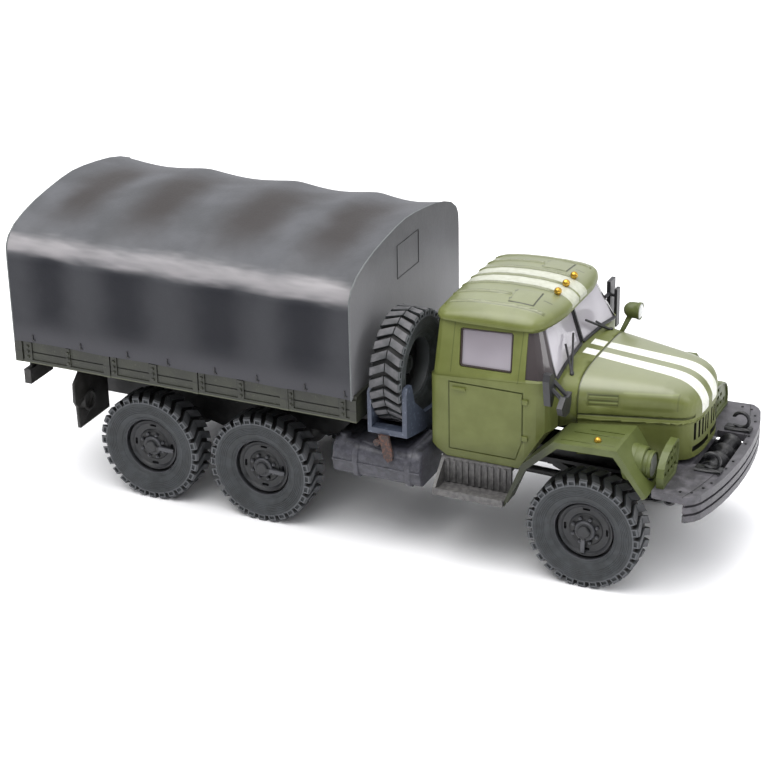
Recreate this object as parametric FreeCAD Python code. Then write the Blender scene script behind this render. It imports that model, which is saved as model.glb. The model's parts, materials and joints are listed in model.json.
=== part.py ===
import FreeCAD, Part
import math
import os

# Scale model (1:43) of a bonneted six-wheel military cargo truck with a canvas tilt.
# Millimetres.  +X forward, +Y left, +Z up; origin on the ground under the middle of the box.

os.makedirs("parts", exist_ok=True)
V = FreeCAD.Vector
UNIT_X, UNIT_Y, UNIT_Z = V(1, 0, 0), V(0, 1, 0), V(0, 0, 1)

# ---- driving dimensions ---------------------------------------------------------------
SCALE = 43.0                      # the model is 1:43

# wheels
AXLE_X = {"front": 55.8, "middle": -22.1, "rear": -51.2}
TYRE_R = 13.0                     # to the lug tips, also the axle height
TYRE_SIDES = 28                   # one flat per lug
TYRE_BEAD_R = 6.9
TYRE_Y_IN, TYRE_Y_OUT = 18.3, 25.56
RIM_FACE_Y = 24.1
PIN_R = 0.80
PIN_CLEARANCE = 0.05              # radial running clearance in the casings
PIN_HALF = 23.4
CASING_HALF = 15.0
CASING_R = 2.2

# chassis
RAIL_X0, RAIL_X1 = -79.0, 70.5
RAIL_Y_IN, RAIL_Y_OUT = 7.4, 9.4
RAIL_Z0, RAIL_Z1 = 20.5, 24.1
FLITCH_Z0 = 17.7                  # outer plates along the rear half of the rails
CROSSMEMBER_X = (-77.6, -62.5, -47.0, -31.5, -16.0, -1.0, 14.0, 29.0, 44.0, 58.0, 67.8)

# display-plinth screw holes
BOSS_X = (67.8, -62.5)
BOSS_R, SCREW_R = 2.6, 1.0
BOSS_Z0, SCREW_DEPTH = 16.0, 6.0

# load bed and tilt
BED_X0, BED_X1 = -83.6, 4.6
BED_HALF = 28.75
BED_Z0, BED_FLOOR_T, BED_WALL_TOP = 31.4, 1.6, 37.6
BED_WALL_T = 1.1
POST_PROUD = 0.4
TILT_X0, TILT_X1 = -83.4, 3.85
TILT_Z0 = 36.8
TILT_T = 0.9

# cab
CAB_X0 = 19.0
CAB_HALF = 22.4
CAB_Z0, GUTTER_Z = 24.2, 54.9
BELT_REAR_Z, BELT_SLOPE = 42.9, 0.066       # the belt line climbs forward
CAB_T = 0.9
CAB_FLOOR_Z = 25.2
COWL_X1 = 50.6
HOOD_X0 = 50.75
HOOD_Z0, CREASE_Z = 27.0, 36.6

# bumper
BUMPER_Z0, BUMPER_Z1 = 20.0, 25.9
APEX_X = 83.6


# ---- small helpers --------------------------------------------------------------------
def box(x0, x1, y0, y1, z0, z1):
    return Part.makeBox(x1 - x0, y1 - y0, z1 - z0, V(x0, y0, z0))


def rod(radius, start, end):
    start, end = V(*start), V(*end)
    return Part.makeCylinder(radius, (end - start).Length, start, end - start)


def prism(points, axis, low, high):
    """Closed outline in the plane across the axis, pushed from low to high."""
    place = {"x": lambda a, b: V(low, a, b), "y": lambda a, b: V(a, low, b),
             "z": lambda a, b: V(a, b, low)}[axis]
    push = {"x": UNIT_X, "y": UNIT_Y, "z": UNIT_Z}[axis] * (high - low)
    corners = [place(a, b) for a, b in points]
    return Part.Face(Part.makePolygon(corners + corners[:1])).extrude(push)


def mirror_y(shape):
    return shape.mirror(V(0, 0, 0), UNIT_Y)


def both(shape):
    return [shape, mirror_y(shape)]


def union(shapes):
    result = shapes[0]
    for shape in shapes[1:]:
        result = result.fuse(shape)
    return result.removeSplitter()


def whole(half):
    """Mirror a list of (x, -y) points running from the right side round to the centre line."""
    return half + [(x, -y) for x, y in reversed(half) if abs(y) > 1e-6]


def export(name, shape):
    if isinstance(shape, (list, tuple)):
        shape = Part.Compound(list(shape))
    shape.exportStep(os.path.join("parts", name + ".step"))
    print(f"{name:18s} solids {len(shape.Solids):2d} valid {shape.isValid()} "
          f"volume {shape.Volume / 1000:8.3f} cm3")


def table(rows, x):
    """Linear interpolation in rows of (x, value)."""
    if x <= rows[0][0]:
        return rows[0][1]
    for (xa, a), (xb, b) in zip(rows, rows[1:]):
        if x <= xb:
            return a + (b - a) * (x - xa) / (xb - xa)
    return rows[-1][1]


# ---- wheels ---------------------------------------------------------------------------
# sidewall rings: (radius to a flat, distance in from the tyre's side)
SIDEWALL = ((TYRE_BEAD_R, 1.4), (8.6, 0.35), (10.9, 0.0))
TREAD_EDGE = 0.45                 # the lugs' ends stand in from the side
GROOVE_R = 12.15
LUG_HALF, GROOVE_HALF = 0.60, 0.26        # as shares of half a pitch


def ring_points(apothem, y):
    radius = apothem / math.cos(math.pi / TYRE_SIDES)
    return [V(radius * math.cos(a), y, radius * math.sin(a)) for a in
            (2 * math.pi * (i + 0.5) / TYRE_SIDES + math.pi / 2 for i in range(TYRE_SIDES))]


def tread_points(y):
    """Four corners to a pitch: both edges of the lug, then both edges of the groove after it."""
    pitch = 2 * math.pi / TYRE_SIDES
    points = []
    for i in range(TYRE_SIDES):
        lug, groove = math.pi / 2 + pitch * i, math.pi / 2 + pitch * (i + 0.5)
        a, g = LUG_HALF * pitch / 2, GROOVE_HALF * pitch / 2
        for angle, radius in ((lug - a, TYRE_R / math.cos(a)), (lug + a, TYRE_R / math.cos(a)),
                              (groove - g, GROOVE_R), (groove + g, GROOVE_R)):
            points.append(V(radius * math.cos(angle), y, radius * math.sin(angle)))
    return points


def facet(*corners):
    return Part.Face(Part.makePolygon(list(corners) + [corners[0]]))


def band(ring_a, ring_b):
    count = len(ring_a)
    faces = []
    for i in range(count):
        j = (i + 1) % count
        faces.append(facet(ring_a[i], ring_b[i], ring_b[j], ring_a[j]))
    return faces


def shoulder(plain, tread):
    """Facets from a plain ring out to the lugged edge."""
    faces = []
    for i in range(TYRE_SIDES):
        before, here = plain[i - 1], plain[i]
        lug_a, lug_b, groove_a, groove_b = tread[4 * i:4 * i + 4]
        faces += [facet(before, tread[4 * i - 1], lug_a), facet(before, lug_a, lug_b),
                  facet(before, lug_b, here), facet(here, lug_b, groove_a), facet(here, groove_a, groove_b)]
    return faces


def tyre_solid(y_in, y_out):
    """Faceted tyre with one lug to a flat, about the Y axis at the origin."""
    outer = [ring_points(r, y_out - d) for r, d in SIDEWALL]
    inner = [ring_points(r, y_in + d) for r, d in SIDEWALL]
    tread_out, tread_in = tread_points(y_out - TREAD_EDGE), tread_points(y_in + TREAD_EDGE)
    faces = band(outer[0], inner[0]) + band(tread_out, tread_in)
    for rings, tread in ((outer, tread_out), (inner, tread_in)):
        faces += band(rings[0], rings[1]) + band(rings[1], rings[2]) + shoulder(rings[2], tread)
    solid = Part.Solid(Part.makeShell(faces))
    return solid if solid.Volume > 0 else solid.reversed()


def rim_solid():
    """Rim, disc, hub and brake drum about the Y axis, outer face at RIM_FACE_Y on the +Y side."""
    seat = Part.Face(Part.makePolygon(ring_points(TYRE_BEAD_R, TYRE_Y_IN + 1.4) + ring_points(
        TYRE_BEAD_R, TYRE_Y_IN + 1.4)[:1])).extrude(UNIT_Y * (RIM_FACE_Y - TYRE_Y_IN - 1.4))
    dish = rod(6.1, (0, 22.9, 0), (0, 26, 0))
    well = rod(6.1, (0, 10, 0), (0, 21.6, 0))
    drum = rod(5.0, (0, 17.6, 0), (0, 21.6, 0))
    hub = rod(2.1, (0, 22.0, 0), (0, 24.3, 0))
    cap = rod(1.4, (0, 24.3, 0), (0, 24.9, 0))
    body = seat.cut(dish).cut(well).fuse(drum).fuse(hub).fuse(cap)
    for i in range(4):
        angle = math.pi / 4 + i * math.pi / 2
        x, z = 4.85 * math.cos(angle), 4.85 * math.sin(angle)
        body = body.cut(rod(0.62, (x, 22.0, z), (x, 25, z)))
    for i in range(8):
        angle = math.pi / 8 + i * math.pi / 4
        x, z = 3.1 * math.cos(angle), 3.1 * math.sin(angle)
        body = body.fuse(rod(0.36, (x, 22.7, z), (x, 23.5, z)))
    body = body.cut(rod(PIN_R, (0, 17, 0), (0, PIN_HALF, 0)))
    return body.removeSplitter()


def wheel_sets():
    tyre, rim = tyre_solid(TYRE_Y_IN, TYRE_Y_OUT), rim_solid()
    for name, x in AXLE_X.items():
        centre = V(x, 0, TYRE_R)
        pin = rod(PIN_R, (x, -PIN_HALF, TYRE_R), (x, PIN_HALF, TYRE_R))
        export(name + "_axle_pin", pin)
        export(name + "_rims", [s.translated(centre) for s in both(rim)])
        export(name + "_tyres", [s.translated(centre) for s in both(tyre)])


# ---- spare wheel and its carrier ------------------------------------------------------
SPARE_X, SPARE_Y, SPARE_Z = 11.1, -15.95, 41.2
CARRIER_FLOOR_Z = SPARE_Z - TYRE_R


def spare_rim_solid():
    """A bare rim for the spare: thin seat, disc set deep inside it, plain hub and studs."""
    bead = ring_points(TYRE_BEAD_R, TYRE_Y_IN + 1.4)
    seat = Part.Face(Part.makePolygon(bead + bead[:1])).extrude(UNIT_Y * (RIM_FACE_Y - TYRE_Y_IN - 1.4))
    body = seat.cut(rod(6.45, (0, 20.9, 0), (0, 26, 0))).cut(rod(6.45, (0, 10, 0), (0, 20.0, 0)))
    body = body.fuse(rod(2.1, (0, 20.4, 0), (0, 22.3, 0)))
    for i in range(8):
        angle = math.pi / 8 + i * math.pi / 4
        x, z = 3.1 * math.cos(angle), 3.1 * math.sin(angle)
        body = body.fuse(rod(0.4, (x, 20.6, z), (x, 21.6, z)))
    return body.removeSplitter()


def spare_wheel():
    half = (TYRE_Y_OUT - TYRE_Y_IN) / 2
    centre = V(SPARE_X, SPARE_Y, SPARE_Z)
    tyre = tyre_solid(-half, half)
    rim = spare_rim_solid()
    rim.translate(V(0, -(TYRE_Y_IN + TYRE_Y_OUT) / 2, 0))
    placed = []
    for shape in (tyre, rim):
        shape.rotate(V(0, 0, 0), UNIT_Z, -90)
        shape.translate(centre)
        placed.append(shape)
    room = box(SPARE_X - half, SPARE_X + half, -40, 0, 20, 60)
    export("spare_tyre", placed[0])
    export("spare_rim", placed[1].common(room))


def spare_carrier():
    """Two cross plates and a trough between them that cradles the tyre."""
    half = (TYRE_Y_OUT - TYRE_Y_IN) / 2
    z0 = CARRIER_FLOOR_Z
    x0, x1 = SPARE_X - half, SPARE_X + half
    rear = prism([(-27.4, 29.0), (-27.4, 38.6), (-26.6, 39.4), (-20.5, 39.4), (-10.0, 33.0), (-10.0, z0 - 1.1),
                  (-18.5, z0 - 1.1), (-24.0, 28.2)], "x", x0 - 1.0, x0 - 0.05)
    front = prism([(-27.4, 29.0), (-27.4, 39.8), (-26.6, 40.6), (-24.6, 40.6), (-23.2, 36.0), (-17.6, 31.2),
                   (-10.0, 30.4), (-10.0, z0 - 1.1), (-18.5, z0 - 1.1), (-24.0, 28.2)], "x", x1 + 0.05, x1 + 1.15)
    floor = prism([(-27.4, 29.0), (-27.4, 30.3), (-24.6, 30.3), (-22.8, 29.3), (-19.4, 28.3), (-15.9, z0 - 0.1),
                   (-10.0, z0 - 0.1), (-10.0, z0 - 1.1), (-18.5, z0 - 1.1), (-24.0, 28.2)], "x", x0 - 1.0, x1 + 1.15)
    arm = box(SPARE_X - 2.5, SPARE_X + 2.5, -12.0, -RAIL_Y_OUT, 22.4, z0 - 1.1)
    body = union([rear, front, floor, arm])
    export("spare_carrier", body)
    cap = rod(0.8, (8.4, -27.2, 26.6), (8.4, -23.0, 26.6)).fuse(box(7.9, 8.9, -24.6, -23.6, 26.6, 29.2))
    tongue = prism([(9.2, 29.0), (11.6, 29.0), (12.6, 24.6), (12.4, 23.2), (11.4, 22.7), (10.5, 23.6)],
                   "y", -28.1, -27.4)
    export("carrier_latch", [cap.cut(body), tongue])


# ---- chassis --------------------------------------------------------------------------
def chassis():
    rail = box(RAIL_X0, RAIL_X1, RAIL_Y_IN, RAIL_Y_OUT, RAIL_Z0, RAIL_Z1)
    rail = rail.cut(box(RAIL_X0 - 1, RAIL_X1 + 1, RAIL_Y_IN + 0.8, RAIL_Y_OUT + 1, RAIL_Z0 + 0.8, RAIL_Z1 - 0.8))
    rail = rail.fuse(box(RAIL_X0, -0.4, RAIL_Y_OUT, RAIL_Y_OUT + 0.8, FLITCH_Z0, RAIL_Z1))
    export("rails", both(rail.removeSplitter()))
    members = []
    for x in CROSSMEMBER_X:
        bar = box(x - 1.2, x + 1.2, -RAIL_Y_IN, RAIL_Y_IN, 22.0, 23.8)
        if x in BOSS_X:
            bar = bar.fuse(rod(BOSS_R, (x, 0, BOSS_Z0), (x, 0, 23.8)))
            bar = bar.cut(rod(SCREW_R, (x, 0, BOSS_Z0 - 1), (x, 0, BOSS_Z0 + SCREW_DEPTH)))
        members.append(bar.removeSplitter())
    export("crossmembers", members)


def axle_casings():
    for name, x in AXLE_X.items():
        z = TYRE_R
        tube = rod(CASING_R, (x, -CASING_HALF, z), (x, CASING_HALF, z))
        ahead, y = (-1, -2.6) if name == "front" else (1, 0.0)
        bowl = Part.makeSphere(4.2, V(x, y, z))
        snout = Part.makeCone(2.6, 1.5, 4.0, V(x + 3.2 * ahead, y, z + 0.8), UNIT_X * ahead)
        pads = [box(x - 1.8, x + 1.8, RAIL_Y_IN - 0.2, RAIL_Y_OUT + 0.2, z, z + 2.6),
                box(x - 1.8, x + 1.8, -RAIL_Y_OUT - 0.2, -RAIL_Y_IN + 0.2, z, z + 2.6)]
        body = union([tube, bowl, snout] + pads)
        body = body.cut(rod(PIN_R + PIN_CLEARANCE, (x, -20, z), (x, 20, z)))
        export(name + "_axle", body)


def springs():
    z = TYRE_R + 2.6
    x = AXLE_X["front"]
    front = prism([(x - 13, RAIL_Z0), (x - 13, RAIL_Z0 - 1.0), (x - 8, RAIL_Z0 - 3.2), (x - 3, z), (x + 3, z),
                   (x + 8, RAIL_Z0 - 3.2), (x + 13, RAIL_Z0 - 1.0), (x + 13, RAIL_Z0), (x + 11, RAIL_Z0),
                   (x + 7, RAIL_Z0 - 1.9), (x + 3, RAIL_Z0 - 3.0), (x - 3, RAIL_Z0 - 3.0),
                   (x - 7, RAIL_Z0 - 1.9), (x - 11, RAIL_Z0)], "y", RAIL_Y_IN, RAIL_Y_OUT)
    xm, xr = AXLE_X["middle"], AXLE_X["rear"]
    c = (xm + xr) / 2
    rear = prism([(xr - 1.6, z), (xr + 1.6, z), (c - 6, z - 1.2), (c - 3, z - 2.0), (c + 3, z - 2.0),
                  (c + 6, z - 1.2), (xm - 1.6, z), (xm + 1.6, z), (xm + 1.6, z + 1.0), (xm - 1.6, z + 1.0),
                  (c + 6, RAIL_Z0 - 2.6), (c + 4, RAIL_Z0), (c - 4, RAIL_Z0), (c - 6, RAIL_Z0 - 2.6),
                  (xr + 1.6, z + 1.0), (xr - 1.6, z + 1.0)], "y", RAIL_Y_IN, RAIL_Y_OUT)
    export("leaf_springs", both(front) + both(rear))


def drive_line():
    case = union([box(6.0, 12.0, -5.0, 5.0, 14.5, 21.0), box(17.0, 40.0, -4.0, 4.0, 17.0, 21.6),
                  box(5.0, 40.0, -3.2, 3.2, 18.2, 21.6), box(40.0, 60.0, -5.2, 5.2, 17.5, 21.9)])
    case = case.cut(rod(5.6, (55.8, -20, TYRE_R), (55.8, 20, TYRE_R)))
    export("gearbox", case)
    zs = TYRE_R + 0.8
    xf, xm, xr = AXLE_X["front"], AXLE_X["middle"], AXLE_X["rear"]
    shafts = [rod(0.9, (12.0, -4.4, 15.6), (xf - 7.2, -2.6, zs)), rod(0.9, (xm + 7.0, 0, zs), (6.2, 0, 15.4)),
              rod(0.9, (xr + 7.2, 0, zs), (xm - 4.2, 0, zs))]
    ends = [box(5.0, 12.0, -6, 6, 10, 22), box(xf - 7.2, xf, -6, 6, 8, 22), box(xm - 4.1, xm + 7.2, -6, 6, 8, 22),
            box(xr - 5, xr + 7.2, -6, 6, 8, 22)]
    for end in ends:
        shafts = [shaft.cut(end) for shaft in shafts]
    shafts[2] = shafts[2].fuse(rod(0.9, (xm - 4.6, 0, zs), (xm - 3.9, 0, zs))).cut(
        Part.makeSphere(4.22, V(xm, 0, TYRE_R)))
    export("drive_shafts", shafts)


def exhaust():
    y, z = 12.4, 22.4
    silencer = rod(1.5, (24.0, y, z), (38.0, y, z))
    pipe = rod(0.8, (38.0, y, z), (44.0, y, z))
    tail = rod(0.8, (-2.0, y, z), (24.0, y, z))
    strap = box(30.0, 32.0, RAIL_Y_OUT, y, z + 0.4, z + 1.2)
    export("exhaust", union([silencer, pipe, tail, strap]))


def fuel_tanks():
    section = [(-15.0, 17.0), (-25.6, 17.0), (-27.0, 18.2), (-27.5, 20.8), (-27.0, 23.6), (-25.4, 25.4),
               (-15.0, 25.4)]
    tank = prism(section, "x", -2.4, 18.6)
    for x in (0.0, 15.0):
        tank = tank.fuse(box(x, x + 3.0, -15.0, -RAIL_Y_OUT, 20.0, 21.4))
    straps = [prism([(y - (0.3 if y < -20 else 0), z + (0.3 if z > 20 else -0.3)) for y, z in section],
                    "x", x, x + 1.2) for x in (2.5, 15.2)]
    cap = rod(1.25, (-0.5, -24.2, 25.2), (-0.5, -24.2, 26.3))
    body = union([tank] + straps + [cap])
    export("fuel_tanks", both(body))


def steps():
    tread = box(22.0, 38.4, -28.1, -22.4, 17.1, 18.0)
    lip = box(22.0, 38.4, -28.1, -27.4, 17.1, 18.7)
    back = box(22.0, 38.4, -22.9, -22.0, 17.1, 24.1)
    ribs = [box(23.4 + i * 1.48, 24.0 + i * 1.48, -23.3, -22.9, 18.4, 23.6) for i in range(10)]
    end = prism([(-28.1, 17.1), (-28.1, 18.7), (-22.4, 24.1), (-22.4, 17.1)], "x", 22.0, 22.7)
    arms = [box(x, x + 1.6, -22.4, -RAIL_Y_OUT, 20.0, 20.8) for x in (26.0, 34.6)]
    export("steps", both(union([tread, lip, back, end] + ribs + arms)))


# ---- bumper, winch, hooks -------------------------------------------------------------
BUMPER_PLAN = whole([(70.5, -24.4), (78.1, -24.8), (79.7, -23.4), (80.6, -21.9), (81.8, -17.7), (82.6, -13.5),
                     (83.1, -9.6), (83.5, -4.5), (APEX_X, 0)])
SKIRT_X = 77.4
WINCH_X0, WINCH_X1, WINCH_HALF = 74.6, 81.4, 8.9


def bumper():
    outline = prism(BUMPER_PLAN, "z", BUMPER_Z0, BUMPER_Z1)
    inset = [(x - 1.5, y * 0.94) for x, y in BUMPER_PLAN[1:-1]]
    pocket = prism([(60.0, -23.3)] + inset + [(60.0, 23.3)], "z", BUMPER_Z0 - 1, BUMPER_Z1 - 1.7)
    body = outline.cut(pocket).cut(box(60, SKIRT_X, -40, 40, BUMPER_Z0 - 1, BUMPER_Z1 - 1.7))
    groove_core = [(x - 0.45, y * 0.984) for x, y in BUMPER_PLAN[1:-1]]
    core = prism([(60.0, -24.4)] + groove_core + [(60.0, 24.4)], "z", BUMPER_Z0 - 1, BUMPER_Z1 + 1)
    for low, high in ((21.5, 22.1), (23.5, 24.1)):
        band = box(SKIRT_X, APEX_X + 1, -40, 40, low, high).cut(core)
        body = body.cut(band)
    body = body.cut(box(WINCH_X0, WINCH_X1, -WINCH_HALF, WINCH_HALF, 24.0, 27.0))
    export("bumper", max(body.removeSplitter().Solids, key=lambda s: s.Volume))


def winch():
    x, z = 78.0, 23.6
    drum = rod(1.7, (x, -7.6, z), (x, 7.6, z))
    flanges = [rod(2.7, (x, y, z), (x, y + 0.7, z)) for y in (-7.6, -2.4, 1.9, 6.9)]
    bracket = box(RAIL_X1, x, -7.9, -7.0, 21.8, 24.15)
    bracket2 = box(RAIL_X1, x, 7.0, 7.9, 21.8, 24.15)
    bed = box(RAIL_X1 - 0.0, x, -7.9, 7.9, 20.6, 21.8)
    export("winch", union([drum] + flanges + [bracket, bracket2, bed]))


def hook(y):
    """Upright open hook curling up and back over its base plate."""
    plate = box(75.8, 81.6, y - 1.2, y + 1.2, BUMPER_Z1, BUMPER_Z1 + 0.7)
    ring = Part.makeTorus(1.75, 0.42, V(79.3, y, BUMPER_Z1 + 2.45), UNIT_Y)
    ring = ring.cut(box(76.8, 79.0, y - 1, y + 1, BUMPER_Z1 + 1.2, BUMPER_Z1 + 3.1))
    return union([plate, ring])


def tow_hooks():
    shackle = Part.makeTorus(1.1, 0.42, V(73.6, -21.6, 23.2), UNIT_Y)
    shackle = shackle.cut(box(70, 77, -24, -19, BUMPER_Z1 - 1.7, 30))
    pair = [hook(-10.9), hook(10.9)]
    export("tow_hooks", [h for h in pair] + shackle.Solids + mirror_y(shackle).Solids)


# ---- front wings, lamps ---------------------------------------------------------------
WING_LINE = ((38.6, 18.4), (42.4, 27.8), (49.6, 34.6), (63.6, 35.1), (70.4, 25.5))
WING_OPENING = ((38.5, 16.9), (43.5, 26.9), (50.5, 33.2), (62.9, 33.5), (69.5, 24.9))
WING_Y_OUT, WING_T = 27.4, 0.8


def offset_line(points, distance):
    """Same number of points, moved to the right-hand side of the run."""
    moved = []
    for i, (x, z) in enumerate(points):
        xa, za = points[max(i - 1, 0)]
        xb, zb = points[min(i + 1, len(points) - 1)]
        if 0 < i < len(points) - 1:
            ux, uz = (x - xa), (z - za)
            vx, vz = (xb - x), (zb - z)
            lu, lv = math.hypot(ux, uz), math.hypot(vx, vz)
            nx, nz = uz / lu + vz / lv, -(ux / lu + vx / lv)
            ln = math.hypot(nx, nz)
            nx, nz = nx / ln, nz / ln
            cosine = nx * uz / lu - nz * ux / lu
            moved.append((x + nx * distance / cosine, z + nz * distance / cosine))
        else:
            dx, dz = xb - xa, zb - za
            ln = math.hypot(dx, dz)
            moved.append((x + dz / ln * distance, z - dx / ln * distance))
    return moved


def front_wings():
    skin = prism(list(WING_LINE) + list(reversed(offset_line(WING_LINE, WING_T))), "y", -WING_Y_OUT, -12.0)
    lip = prism(list(WING_LINE) + list(reversed(WING_OPENING)), "y", -WING_Y_OUT, -WING_Y_OUT + 0.9)
    wing = skin.fuse(lip)
    inner = prism([(30, -10), (30, -23.4), (42.0, -22.9), (46.4, -20.6), (49.2, -17.4), (63.2, -14.0), (65.7, -14.2),
                   (72.0, -17.0), (72, -10)], "z", 10, 40)
    wing = wing.cut(inner).cut(rod(LAMP_R, (62.0, LAMP_Y, LAMP_Z), (73.0, LAMP_Y, LAMP_Z)))
    floor = prism([(49.6, 30), (49.6, 34.35), (63.6, 34.85), (63.6, 30)], "y", -28, -12)
    for y, x in ((-19.2, 55.0), (-21.2, 52.0), (-25.6, 50.6)):
        wing = wing.cut(box(x, 62.6, y, y + 0.3, 34.0, 35.6).cut(floor))
    return [s for s in wing.removeSplitter().Solids]


LAMP_Y, LAMP_Z, LAMP_R = -19.7, 29.5, 3.5


def headlamps(wing):
    pod = rod(LAMP_R, (63.2, LAMP_Y, LAMP_Z), (67.4, LAMP_Y, LAMP_Z))
    rim = rod(LAMP_R - 0.5, (67.0, LAMP_Y, LAMP_Z), (69.4, LAMP_Y, LAMP_Z))
    pocket = rod(LAMP_R - 0.9, (68.6, LAMP_Y, LAMP_Z), (70.0, LAMP_Y, LAMP_Z))
    pod = pod.fuse(rim).cut(pocket)
    for solid in wing:
        pod = pod.cut(solid)
    pod = max(pod.removeSplitter().Solids, key=lambda s: s.Volume)
    lens = rod(LAMP_R - 0.9, (68.6, LAMP_Y, LAMP_Z), (69.2, LAMP_Y, LAMP_Z))
    export("headlamps", both(pod))
    export("headlamp_lenses", both(lens))


GUARD_LINE = ((-22.9, 25.9), (-23.0, 28.3), (-22.5, 30.3), (-21.3, 31.8), (-19.4, 32.9), (-17.0, 33.5), (-13.8, 33.8),
              (-12.9, 33.2), (-12.6, 30.4), (-13.2, 27.8), (-14.6, 25.9))


def headlamp_guards():
    """A D-shaped plate before each lamp, with a proud edge and rows of oblong holes."""
    plate = prism(GUARD_LINE, "x", 71.0, 72.6)
    field = [(y * 0.93 - 1.25, 29.6 + (z - 29.6) * 0.84) for y, z in GUARD_LINE]
    plate = plate.cut(prism(field, "x", 72.2, 74.0))
    for y, rows in ((-20.6, (28.1,)), (-18.5, (28.1, 30.1)), (-16.4, (28.1, 30.1, 32.0)), (-14.3, (28.1, 30.1, 32.0))):
        for z in rows:
            plate = plate.cut(box(70, 74, y - 0.62, y + 0.62, z - 0.42, z + 0.42))
    export("headlamp_guards", both(plate))


# ---- hood -----------------------------------------------------------------------------
HOOD_REAR_HALF, HOOD_TAPER = 16.3, 0.262          # half width at the cowl, loss per mm forward
HOOD_REAR_TOP, HOOD_FALL = 45.05, 0.083           # centre line height at the cowl, fall per mm
NOSE_START_X, NOSE_TIP_X = 66.0, 75.4
NOSE_PLAN_POWER, NOSE_TOP_POWER = 8.3, 3.0
HOOD_X = (HOOD_X0, 55.0, 60.0, 65.0, 68.0, 70.0, 71.3, 72.4, 73.2, 73.9, 74.4, 74.8, 75.1, 75.25)


def hood_size(x):
    """Half width and centre line height of the hood at x."""
    s = max(0.0, (x - NOSE_START_X) / (NOSE_TIP_X - NOSE_START_X))
    half = (HOOD_REAR_HALF - HOOD_TAPER * (x - 50.6)) * math.sqrt(1 - s ** NOSE_PLAN_POWER)
    top = HOOD_REAR_TOP - HOOD_FALL * (x - 50.6)
    return half, CREASE_Z + (top - CREASE_Z) * math.sqrt(1 - s ** NOSE_TOP_POWER)


def hood_section(x, half, top, bottom):
    power = 4.0 + 0.6 * min(1.0, max(0.0, (x - 50.6) / 20.0))
    points = []
    for i in range(17):
        t = -math.pi / 2 + math.pi * i / 16
        s, c = math.sin(t), math.cos(t)
        y = half * math.copysign(abs(s) ** (2 / power), s)
        z = CREASE_Z + (top - CREASE_Z) * abs(c) ** (2 / power)
        points.append(V(x, y, z))
    curve = Part.BSplineCurve()
    curve.interpolate(points)
    low_left, low_right = V(x, -half, bottom), V(x, half, bottom)
    return Part.Wire([Part.makeLine(low_left, points[0]), curve.toShape(),
                      Part.makeLine(points[-1], low_right), Part.makeLine(low_right, low_left)])


def hood_loft(xs, inset, bottom, shift=0.0):
    wires = []
    for x in xs:
        half, top = hood_size(x)
        wires.append(hood_section(x - (shift if x > 66 else 0.0), half - inset, top - inset, bottom))
    return Part.makeLoft(wires, True, True)


def side_tool(x, z, length, height, depth):
    """Block sunk square into the right-hand hood side at x, z."""
    half = hood_size(x)[0]
    tool = box(-length / 2, length / 2, -2.0, depth, -height / 2, height / 2)
    tool.rotate(V(0, 0, 0), UNIT_Z, math.degrees(math.atan(HOOD_TAPER)))
    tool.translate(V(x, -half, z))
    return tool


def hood():
    outer = hood_loft(HOOD_X, 0.0, HOOD_Z0)
    inner = hood_loft((HOOD_X0 - 1.0,) + HOOD_X[1:-1], 0.9, HOOD_Z0 - 2, 0.9)
    body = outer.cut(inner)
    # moulding: a groove over a raised bead along both sides, and the pressed side panel above it
    bead = hood_loft((HOOD_X0,) + HOOD_X[1:], -0.22, HOOD_Z0).common(box(50, 78, -20, 20, 35.3, 35.75))
    body = body.fuse(bead.cut(outer))
    core = hood_loft(HOOD_X, 0.28, HOOD_Z0)
    body = body.cut(outer.cut(core).common(box(50, 74.4, -20, 20, 36.35, 36.75)))
    # grille: vertical slots each side of the centre rib and one long slot under them
    for side in (-1, 1):
        for y in (0.95, 2.55, 4.15, 5.75, 7.35):
            y0, y1 = sorted((side * y, side * (y + 0.75)))
            body = body.cut(box(70.5, 78.0, y0, y1, 31.0, 35.0))
        y0, y1 = sorted((side * 0.8, side * 8.4))
        body = body.cut(box(71.5, 78.0, y0, y1, 28.4, 29.6))
    # louvred recess in each side panel
    recess = side_tool(56.0, 39.9, 6.6, 3.0, 0.45)
    for z in (39.1, 40.4):
        recess = recess.cut(side_tool(56.0, z, 5.8, 0.45, 0.1).common(side_tool(56.0, z, 5.8, 0.45, 3.0)))
    body = body.cut(recess).cut(mirror_y(recess))
    export("hood", max(body.Solids, key=lambda s: s.Volume))
    export("radiator", box(66.6, 67.8, -7.2, 7.2, RAIL_Z1, 38.0))


# ---- cab ------------------------------------------------------------------------------
BELT_OUTLINE = whole([(19.3, -20.4), (19.8, -21.4), (21.0, -21.9), (34.0, -22.0), (41.3, -22.0), (43.9, -21.6),
                      (45.5, -20.9), (46.6, -19.7), (46.9, -18.2), (46.7, -11.9), (46.3, -4.1), (46.1, 0)])
GUTTER_OUTLINE = whole([(19.4, -16.8), (19.9, -17.9), (21.0, -18.7), (34.0, -18.8), (39.9, -18.5),
                        (41.4, -17.9), (42.2, -17.0), (42.7, -16.0), (43.0, -14.8), (43.2, -10.7),
                        (42.9, -3.7), (42.8, 0)])


def inset_outline(outline, distance):
    """Outline pulled in square to each corner."""
    count, moved = len(outline), []
    for i, (x, y) in enumerate(outline):
        xa, ya = outline[i - 1]
        xb, yb = outline[(i + 1) % count]
        dx, dy = xb - xa, yb - ya
        length = math.hypot(dx, dy)
        moved.append((x - dy / length * distance, y + dx / length * distance))
    return moved


def outline_wire(outline, z, slope=0.0):
    points = [V(x, y, z + slope * (x - CAB_X0)) for x, y in outline]
    return Part.makePolygon(points + points[:1])


def greenhouse(inset):
    return Part.makeLoft([outline_wire(inset_outline(BELT_OUTLINE, inset), BELT_REAR_Z, BELT_SLOPE),
                          outline_wire(inset_outline(GUTTER_OUTLINE, inset), GUTTER_Z)], True, True)


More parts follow.
